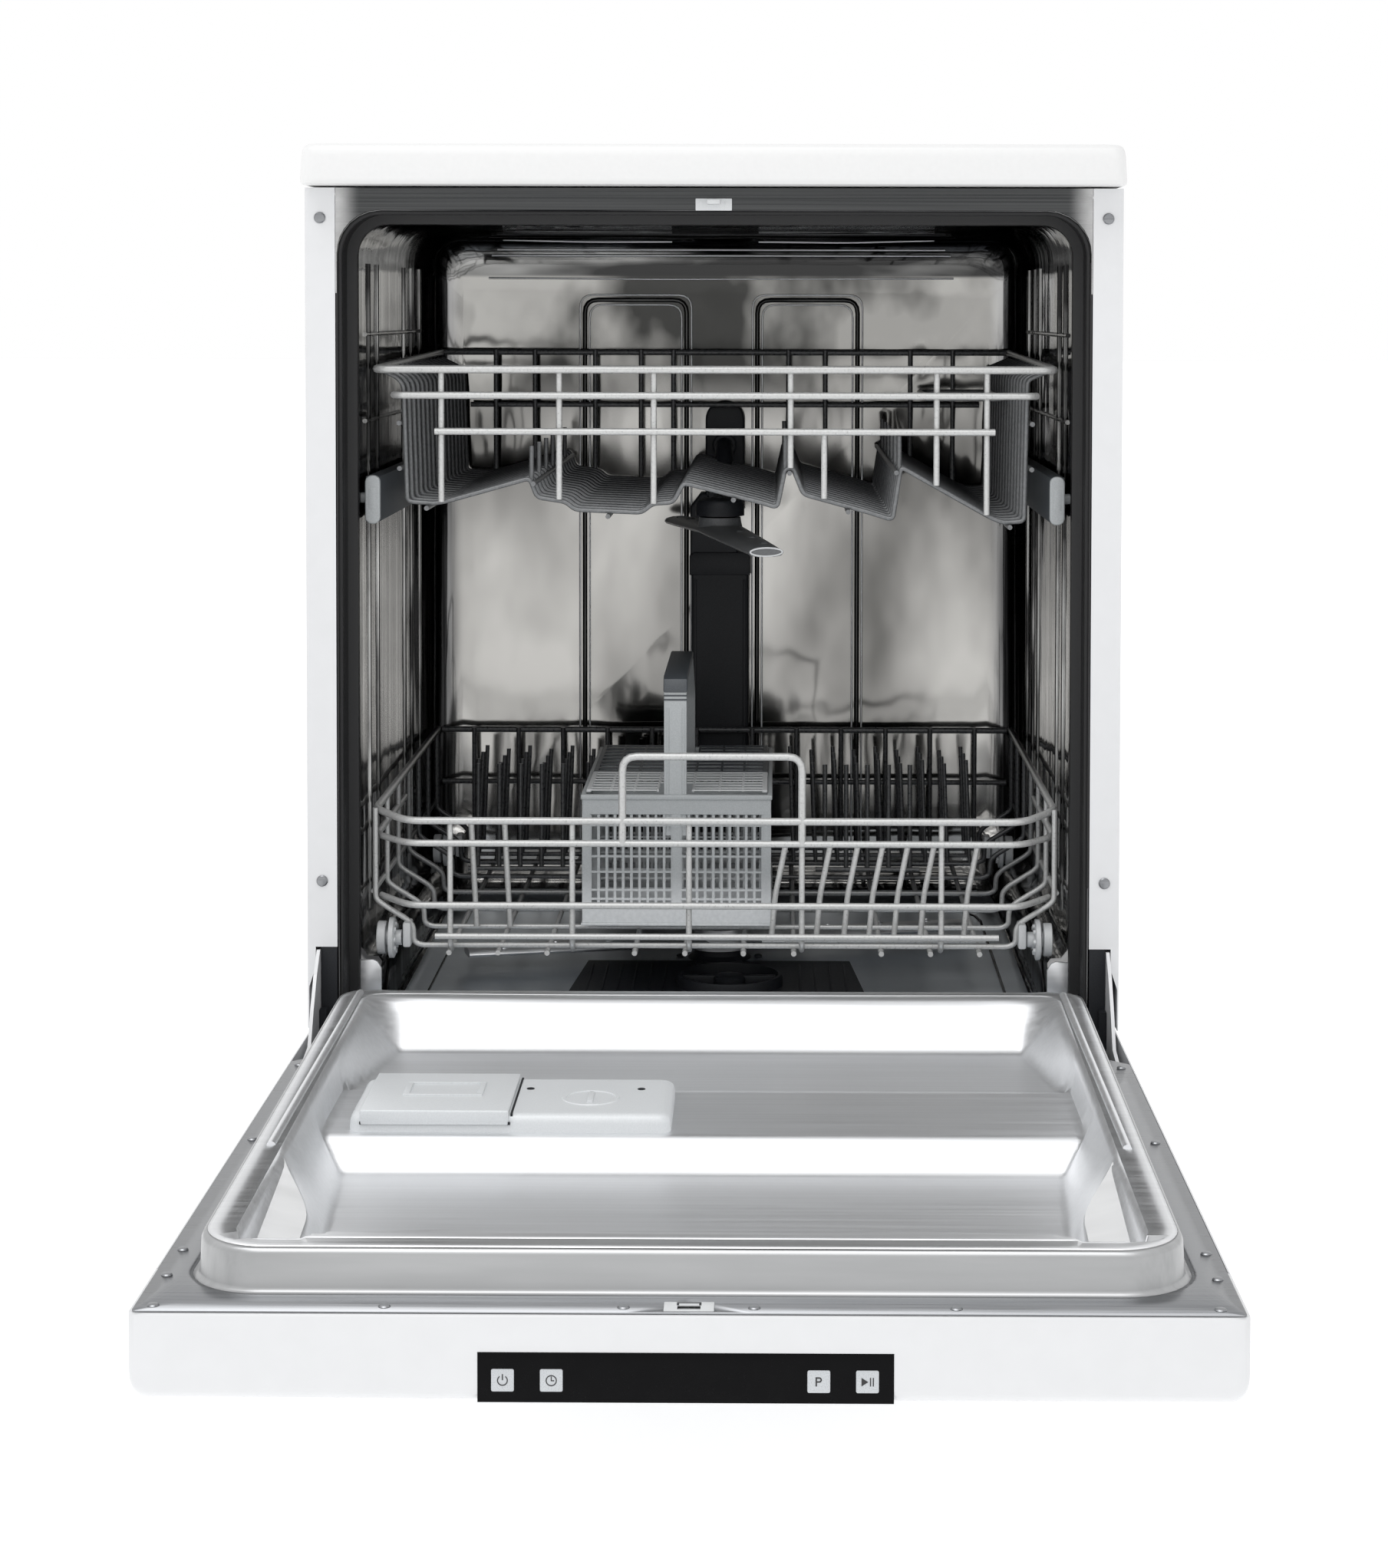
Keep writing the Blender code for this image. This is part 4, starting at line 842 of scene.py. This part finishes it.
def make_basket_handle():
    bm = bmesh.new()
    near, far, top, foot = 98.6, 349.4, 443.6, 321
    outer = [(near, foot), (near, top - 9), (near + 2.5, top - 2.5), (near + 9, top), (268, top),
        (far - 6, top - 40), (far, top - 52), (far, foot)]
    inner = [(far - 3.8, foot), (far - 3.8, top - 51), (far - 9, top - 42), (266.5, top - 4),
        (near + 10, top - 4), (near + 6, top - 6), (near + 3.8, top - 10), (near + 3.8, foot)]
    prism(bm, outer + inner, "X", -39.8, -22.2, 0.9, 2)
    for x in (-37.6, -25.6):
        prism(bm, [(near + 1, 325), (near + 1, top - 24), (near - 0.5, top - 24), (near - 0.5, 325)], "X",
            x, x + 1.6, 0)
    solid("basket_handle_arch", bm, "cutlery_basket", "basket_handle", GREY_PLASTIC)
    # Painted shade: a dark plastic cap over the handle's top stands in for the shade on it.
    shade_top = bmesh.new()
    prism(shade_top, [(near - 0.6, top - 12), (near - 0.6, top - 8.6), (near + 2.2, top - 2),
        (near + 9, top + 0.7), (267.5, top + 0.7), (267.5, top - 4.8), (near + 10.5, top - 4.8),
        (near + 6.8, top - 6.8), (near + 4.6, top - 12)], "X", -40.2, -21.8, 1.2, 2)
    for z in (top - 14.4, top - 17.6):
        box(shade_top, (-39.9, -22.1), (near - 0.5, near + 2), (z - 0.7, z + 0.7), 0.3)
    solid("basket_handle_painted_shade_top", shade_top, "cutlery_basket", "basket_handle", SLATE_PLASTIC, ())


def make_basket_lids():
    """Two flat grids of crosswise bars that stop short where the handle passes."""
    z0, z1 = 353.4, 355.5
    x0, x1, slot0, slot1 = -99.8, 39.8, -44.5, -17.5
    # Painted light and shade: the front lid is in a pale plastic as its lit part, and the back lid in a dark
    # plastic as painted shade.
    for end, low, high, handle, pitch, look in (("front", 104.2, 195.8, (90, 140), 13, PALE_PLASTIC),
            ("back", 198.2, 343.6, (278, 360), 18, SLATE_PLASTIC)):
        bm = bmesh.new()
        for a, b in ((x0, x0 + 4), (x1 - 4, x1), (slot0 - 1, slot0 + 1), (slot1 - 1, slot1 + 1)):
            box(bm, (a, b), (low, high), (z0, z1), 0.5, 1)
        count = round((high - low) / pitch)
        places = [(low + 2, 2), (high - 2, 2)] + [(low + (high - low) * i / count, pitch / 5.5)
            for i in range(1, count)]
        for v, half in places:
            open_here = handle[0] <= v <= handle[1]
            for a, b in (((x0 + 1, slot0), (slot1, x1 - 1)) if open_here else ((x0 + 1, x1 - 1),)):
                box(bm, (a, b), (v - half, v + half), (z1 - 0.9, z1 - 0.1), 0.2, 1)
        for x in (x0 + 19, x0 + 37, x1 - 37, x1 - 19):
            box(bm, (x - 0.9, x + 0.9), (low + 1, high - 1), (z1 - 1.5, z1 - 0.3), 0, 1)
        solid(f"basket_lid_grid_{end}", bm, f"basket_lid_{end}", f"basket_lid_{end}", look)


# Door

# The liner at distances from the hinge axis: height of its rim and of the pocket's floor, and half the width
# of the pocket at its rim and at its floor
RIM = [(0, 40), (70, 40), (200, 36), (410, 29.5), (592, 24.5)]
FLOOR = [(0, 39.5), (59, 39.5), (92, 8), (150, 6.5), (194, 7.5), (201, 9.5), (306, 8.2), (326, -11.1),
    (551, -11.1), (567, 24), (600, 24)]
EDGE = [(0, 247), (70, 247), (405, 251.5), (425, 249.5), (600, 249.5)]
FOOT = [(0, 219), (93, 220.5), (190, 239), (201, 244), (306, 244), (326, 228), (560, 212)]


def follow(table, reach):
    for (r0, t0), (r1, t1) in zip(table, table[1:]):
        if reach <= r1:
            return t0 + (t1 - t0) * max(reach - r0, 0) / (r1 - r0)
    return table[-1][1]


def soft_follow(table, reach, blur=2.5):
    return sum(follow(table, reach + blur * i) for i in (-1, -0.5, 0, 0.5, 1)) / 5


def soft_max(a, b, blend=3):
    if abs(a - b) > blend:
        return max(a, b)
    return max(a, b) + (blend - abs(a - b)) ** 2 / (4 * blend)


def ease(low, high, value):
    share = min(max((value - low) / (high - low), 0), 1)
    return share * share * (3 - 2 * share)


def pocket_side(reach):
    """Half the pocket's width at its rim, and where the facet of the near corner ends inside it."""
    edge = soft_follow(EDGE, reach, 6)
    return edge, edge + (223 - edge) * ease(405, 495, reach)


def pocket_rise(x, reach):
    """The height of the pressed pocket: two pans, a shelf between them, and a facet at each near corner."""
    x = abs(x)
    rim, floor = follow(RIM, reach), soft_follow(FLOOR, reach)
    (edge, wall), foot = pocket_side(reach), soft_follow(FOOT, reach, 4)
    fall = 0.12 * max(reach - 405, 0)

    def facet(place):
        inside = max(edge - place, 0)
        return rim - 0.25 * inside - fall * min(inside / 2.5, 1)

    if x >= wall:
        side = facet(x)
    else:
        side = facet(wall) - (facet(wall) - floor) * (wall - x) / (wall - foot)
    return min(soft_max(floor, side), rim)


CORNER_STEPS = 5


def grid_marks(offsets):
    """Places across a rounded rectangle: (share of the straight core, share of the corner radius)."""
    corner = [i / CORNER_STEPS for i in range(CORNER_STEPS + 1)]
    return ([(-1, -a) for a in reversed(corner)] + [(share, 0) for share in offsets]
        + [(1, a) for a in corner])


def spot(column, row, half_far, half_near, far, near, radius):
    """Puts one mark of the grid on a rounded rectangle that widens from its far to its near end."""
    (px, a), (pr, b) = column, row
    if abs(px) == 1 and abs(pr) == 1:
        a, b = a * sqrt(1 - b * b / 2), b * sqrt(1 - a * a / 2)
    reach = far + radius + (near - far - 2 * radius) * (pr + 1) / 2 + b * radius
    half = half_far + (half_near - half_far) * (reach - far) / (near - far)
    return px * (half - radius) + a * radius, reach


def shares(low, high, runs):
    """Shares of a span from -1 to 1, for places given as (from, to, step) runs."""
    places = []
    for first, last, step in runs:
        count = round((last - first) / step)
        places += [first + (last - first) * i / count for i in range(count)]
    return [2 * (place - low) / (high - low) - 1 for place in places]


def press_sheet(name, bm, look, replaces=()):
    """Gives a pressed surface the thickness of its sheet, on the side away from the dishes."""
    outward(bm)
    if sum(face.normal.z * face.calc_area() for face in bm.faces) < 0:
        bmesh.ops.reverse_faces(bm, faces=bm.faces)
    sheet = solid(name, bm, "door", "door_liner", look, replaces, angle=60)
    wall = sheet.modifiers.new("Sheet", "SOLIDIFY")
    wall.thickness = 0.8 * MM
    wall.offset = -1
    return sheet


def cut_latch_slot(piece):
    """Cuts the slot that the striker's horn enters when the door is shut."""
    bm = bmesh.new()
    door_box(bm, (-6.2, 6.2), (608.6, 614.8), (-14, 3), 0)
    tool = add_mesh("latch_slot", bm)
    slot = piece.modifiers.new("Slot", "BOOLEAN")
    slot.operation, slot.solver, slot.object = "DIFFERENCE", "EXACT", tool
    shape = piece.evaluated_get(bpy.context.evaluated_depsgraph_get())
    piece.data = bpy.data.meshes.new_from_object(shape)
    piece.modifiers.clear()
    bpy.data.objects.remove(tool)


def make_facets():
    """The three-sided facets of the pocket's two near corners, laid 0.3 mm over the pocket in a brighter
    steel as a painted highlight.
    """
    bm = bmesh.new()
    for side in (-1, 1):
        rows = []
        for i in range(17):
            reach = 424 + 125 * i / 16
            edge, wall = pocket_side(reach)
            places = [wall + 0.4 + (edge - 2.8 - wall) * j / 5 for j in range(6)]
            rows.append([bm.verts.new(D(side * x, reach, pocket_rise(x, reach) + 0.3)) for x in places])
        skin(bm, rows, closed=False, flip=side > 0)
    solid("liner_facets", bm, "door", "door_liner", LIT_FACET_STEEL, (), angle=60)


def rim_top(reach, drop):
    """The height of the rim less a drop. It falls away steeply beside the hinge."""
    return follow(RIM, reach) - drop - 18 * (1 - min(max(reach - 10, 0) / 26, 1) ** 0.5)


def make_liner():
    lip = (250, 252, 50, 572, 17)
    half = 235
    columns = grid_marks(shares(-half, half, ((-half + 2.6, -196, 2.6), (-196, 196, 28), (196, half, 2.6))))
    rows = grid_marks(shares(67, 555, ((69, 99, 2.5), (99, 187, 11), (187, 207, 2.5), (207, 297, 15),
        (297, 333, 2.4), (333, 393, 10), (393, 501, 6), (501, 546, 9),
        (546, 554, 2))))
    last_c, last_r = len(columns) - 1, len(rows) - 1
    border = ([(i, 0) for i in range(last_c)] + [(last_c, j) for j in range(last_r)]
        + [(i, last_r) for i in range(last_c, 0, -1)] + [(0, j) for j in range(last_r, 0, -1)])

    def ring(rise, *shape):
        return [(spot(columns[i], rows[j], *shape), rise) for i, j in border]

    outer = [[((max(-281.3, min(281.3, x)) if reach < 86.5 else x, reach), 0)
        for (x, reach), _ in ring(0, 297, 297, -48.5, 619, 2)]]
    far, near, end = 268.5, 271.8, 588.5
    for outset, rise in ((9, 0), (5, 0.1), (2.4, 1), (1, 3)):
        outer.append(ring(rise, far + outset, near + outset, 14 - outset, end + outset * 0.5, 37 + outset))
    for inset, drop in ((0.2, 4), (1.2, 1.5), (3, 0.4), (5.5, 0)):
        outer.append([((x, reach), rim_top(reach, drop))
            for (x, reach), _ in ring(0, far - inset, near - inset, 14 + inset * 3.2, end - inset, 36)])
    lip_ring = [((x, reach), pocket_rise(x, reach)) for (x, reach), _ in ring(0, *lip)]
    for name, part, look in (("flange", outer[:3], FLANGE_STEEL), ("wall", outer[2:-1], WALL_STEEL),
            ("rim", [*outer[-2:], lip_ring], RIM_STEEL)):
        bm = bmesh.new()
        loft(bm, [[D(x, reach, rise) for (x, reach), rise in places] for places in part])
        sheet = press_sheet(f"liner_{name}", bm, look)
        if name == "flange":
            cut_latch_slot(sheet)
    bm = bmesh.new()
    net = []
    for row in rows:
        line = [spot(column, row, *lip) for column in columns]
        net.append([bm.verts.new(D(x, reach, pocket_rise(x, reach))) for x, reach in line])
    skin(bm, net, closed=False)
    press_sheet("liner_pocket", bm, SATIN_STEEL, ["door_liner"])
    make_facets()
    ridges = [[(side * (follow(EDGE, reach) + 6.5), HINGE_V - reach, HINGE_Z + follow(RIM, reach) - 0.6)
        for reach in (46, 120, 200, 300, 406)] for side in (-1, 1)]
    wires("liner_ridges", ridges, 3, "door", "door_liner", SATIN_STEEL, (), corner=30)
    screws = bmesh.new()
    for x in (-287, -163, -35, 35, 143, 284):
        screw_head(screws, (x, HINGE_V - 611, HINGE_Z), 3.4, "Z", 1.3)
    for x in (-290, 290):
        for r in (97, 288, 515, 560):
            screw_head(screws, (x, HINGE_V - r, HINGE_Z), 3.2, "Z", 1.3)
    solid("liner_screws", screws, "door", "door_liner", FLANGE_STEEL, ())


def make_console():
    bm = bmesh.new()
    section = [(545, -1.3), (545, -48.6), (612, -48.6)] + [
        (612.5 + 7 * sin(radians(a)), -41.6 - 7 * cos(radians(a))) for a in range(10, 91, 16)]
    section += [(619.5, -2.5), (618.6, -1.3)]
    corner = 10
    ends = [(299 - step, corner - sqrt(corner ** 2 - (corner - step) ** 2))
        for step in (0, 0.3, 1, 2.2, 4, 6.6, 10)]
    rows = []
    for x, inset in [(-x, inset) for x, inset in ends] + ends[::-1]:
        rows.append([bm.verts.new(D(x, r - 0.25 * inset if r > 600 else r, t + (inset if t < -20 else 0)))
            for r, t in section])
    tube(bm, rows)
    cut_latch_slot(solid("console_moulding", bm, "door", "control_console", ENAMEL))
    glass = bmesh.new()
    prism(glass, [(-112.5, HINGE_Z - 48.5), (109.5, HINGE_Z - 48.5), (109.5, HINGE_Z - 21.4),
        (-112.5, HINGE_Z - 21.4)], "Y", HINGE_V - 619.9, HINGE_V - 618, 0.4, 2)
    solid("display_window", glass, "door", "display_panel", GLOSS_BLACK)
    make_buttons()
    latch = bmesh.new()
    door_box(latch, (-13.5, 13.5), (602.5, 617), (-0.9, 0.55), 0.4)
    cut_latch_slot(solid("latch_cover", latch, "door", "door_latch", PALE_PLASTIC))
    hook = bmesh.new()
    for low, high in ((-6.6, -5.4), (5.4, 6.6)):
        door_box(hook, (low, high), (604.5, 608.4), (0.2, 0.7), 0.1)
    door_box(hook, (-6.6, 6.6), (603.6, 605), (0.2, 0.7), 0.1)
    solid("latch_hook", hook, "door", "door_latch", DARK_PLASTIC, ())


BUTTONS = {"power": -99, "delay": -73, "program": 69.4, "start": 95.3}
# Rings: centre, radius, width, start and end angle. Bars: limits in x and z.
SYMBOL_RINGS = {"power": (0, 0, 2.9, 0.55, 125, 415), "delay": (0, 0, 3, 0.55, 0, 360),
    "program": (0.2, 1.05, 1.45, 0.75, -90, 90)}
SYMBOL_BARS = {"power": [(-0.3, 0.3, 0.2, 3.4)], "delay": [(-0.25, 0.25, -0.1, 2.2), (-0.1, 1.6, -0.3, 0.2)],
    "program": [(-1.75, -0.95, -2.4, 2.5), (-1, 0.25, 1.75, 2.5), (-1, 0.25, -0.4, 0.35)],
    "start": [(1.3, 1.9, -2.3, 2.3), (2.8, 3.4, -2.3, 2.3)]}
# The depth of the buttons' faces, and how thick the symbols are
BUTTON_FRONT, INK = -622.45, 0.35


def icon_ring(bm, x, z, radius, width, start, end):
    """A flat ring of ink, open where start and end leave a gap."""
    steps = 28
    rows = []
    for i in range(steps + 1):
        angle = radians(start + (end - start) * i / steps)
        rows.append([bm.verts.new(P(x + r * cos(angle), v, z + r * sin(angle)))
            for r, v in ((radius - width, BUTTON_FRONT), (radius, BUTTON_FRONT),
            (radius, BUTTON_FRONT + INK), (radius - width, BUTTON_FRONT + INK))])
    tube(bm, rows, capped=end - start < 360)


def make_buttons():
    z = HINGE_Z - 36.4
    for label, x in BUTTONS.items():
        name = f"button_{label}"
        cap = bmesh.new()
        prism(cap, [(x + a, b) for a, b in rounded(6.1, z - 6.1, z + 6.1, 1, 4)], "Y", BUTTON_FRONT + 0.15,
            BUTTON_FRONT + 5, 0.4, 2)
        solid(name + "_cap", cap, name, name, BUTTON_WHITE)
        mark = bmesh.new()
        if label in SYMBOL_RINGS:
            dx, dz, *shape = SYMBOL_RINGS[label]
            icon_ring(mark, x + dx, z + dz, *shape)
        else:
            arrow = [(x - 3.2, z - 2.3), (x + 0.4, z), (x - 3.2, z + 2.3)]
            prism(mark, arrow, "Y", BUTTON_FRONT, BUTTON_FRONT + INK, 0)
        for x0, x1, z0, z1 in SYMBOL_BARS[label]:
            box(mark, (x + x0, x + x1), (BUTTON_FRONT, BUTTON_FRONT + INK), (z + z0, z + z1), 0)
        solid(name + "_symbol", mark, name, name, ICON_INK, ())


# The centre of the rinse aid cap
CAP_X, CAP_REACH = -74, 258


def door_lathe(bm, x, reach, profile, sides):
    lathe(bm, (x, HINGE_V - reach, HINGE_Z), profile, sides)


def make_dispenser():
    body = bmesh.new()
    half, centre = 103.2, -123.4
    rings = []
    for rise, inset in ((-2.5, 0), (14, 0.4), (17.5, 1.4), (19.4, 3.4), (20, 6.5)):
        rings.append([P(centre + x * (1 - inset / half), v, HINGE_Z + rise)
            for x, v in rounded(half, HINGE_V - 300.2 + inset, HINGE_V - 206 - inset, 7, 6)])
    loft(body, rings, close_end=True)
    outward(body)
    solid("dispenser_body", body, "door", "detergent_dispenser", SILVER_PLASTIC)
    trim = bmesh.new()
    door_lathe(trim, CAP_X, CAP_REACH, [(19, 19.8), (18.5, 20.6), (16.2, 20.6), (15.8, 19.8)], 40)
    solid("cap_collar", trim, "door", "detergent_dispenser", SILVER_PLASTIC, ())
    dots_and_gap_shadow = bmesh.new()
    for x in (-115, -42):
        door_lathe(dots_and_gap_shadow, x, 236, [(2.6, 19.5), (2.6, 20.3), (2, 20.5)], 20)
    # Painted shadow: dark strips along the flap's right edge and under its front edge stand in for the shade
    # in the gaps.
    door_box(dots_and_gap_shadow, (-123, -121.6), (208, 298), (18, 20.2), 0)
    door_box(dots_and_gap_shadow, (-219.4, -123), (296, 300.9), (13.4, 15.2), 0.3)
    solid("dispenser_dots_and_gap_shadow", dots_and_gap_shadow, "door", "detergent_dispenser", DARK_PLASTIC, ())
    lid = bmesh.new()
    left, right = -219, -124
    door_box(lid, (left, right), (207.5, 301.6), (20.4, 22.9), 1, 3)
    door_box(lid, (left, right), (293, 301.8), (15.2, 22.4), 0.8, 2)
    for r0, r1, x0, x1 in ((232, 236, -196, -144), (262, 266, -196, -144), (236, 262, -196, -192),
            (236, 262, -148, -144)):
        door_box(lid, (x0, x1), (r0, r1), (22.4, 24), 0.6)
    door_box(lid, (left + 0.4, right - 0.4), (299, 301.6), (13.5, 22.6), 0.8)
    solid("detergent_flap", lid, "detergent_lid", "detergent_lid", SILVER_PLASTIC)
    cap = bmesh.new()
    door_lathe(cap, CAP_X, CAP_REACH, [(14.6, 12.5), (14.6, 18.6), (13.6, 19.4), (6, 19.4)], 40)
    door_box(cap, (-76, -72), (245.5, 270.5), (18.6, 21.4), 0.9)
    solid("rinse_cap_knob", cap, "rinse_aid_cap", "rinse_aid_cap", SILVER_PLASTIC)


def make_door():
    make_liner()
    make_console()
    make_dispenser()


# Studio

def area_light(name, place, aim, size, power, gloss_only=False):
    light = bpy.data.lights.new(name, "AREA")
    light.size = size
    light.energy = power
    lamp = add_object(name, light)
    lamp.location = place
    lamp.rotation_euler = (Vector(aim) - Vector(place)).to_track_quat("-Z", "Y").to_euler()
    lamp.visible_diffuse = not gloss_only


def make_stage():
    bm = bmesh.new()
    bmesh.ops.create_grid(bm, x_segments=1, y_segments=1, size=40)
    floor = add_mesh("studio_floor", bm)
    floor.data.materials.append(STUDIO)
    world = bpy.data.worlds.new("studio")
    bpy.context.scene.world = world
    world.use_nodes = True
    backdrop = world.node_tree.nodes["Background"]
    backdrop.inputs["Color"].default_value = (1, 1, 1, 1)
    backdrop.inputs["Strength"].default_value = 1
    area_light("softbox", (-0.9, -1.1, 3.2), (0, -0.1, 0.4), 2, 26)
    area_light("gleam", (0, -2.1, 3), (0, -0.2, 0.2), 2.4, 34, gloss_only=True)


def make_camera():
    data = bpy.data.cameras.new("camera")
    data.sensor_fit = "AUTO"
    data.sensor_width = 36
    data.lens = 69.16
    data.shift_x = -0.0355
    data.shift_y = -0.2266
    data.clip_start = 0.05
    camera = add_object("camera", data)
    turn = (Matrix.Rotation(radians(0.478), 4, "Z") @ Matrix.Rotation(radians(90 - 2.274), 4, "X")
        @ Matrix.Rotation(radians(0.104), 4, "Z"))
    camera.matrix_world = Matrix.Translation((0.0449, -2.1674, 0.7258)) @ turn
    bpy.context.scene.camera = camera
    bpy.context.scene.view_settings.view_transform = "Standard"


make_worktop()
make_casing()
make_tub()
make_seal()
make_strike()
make_feed_duct()
make_filter()
make_lower_arm()
make_upper_rack()
make_upper_arm()
make_lower_rack()
make_basket()
make_door()
make_stage()
make_camera()
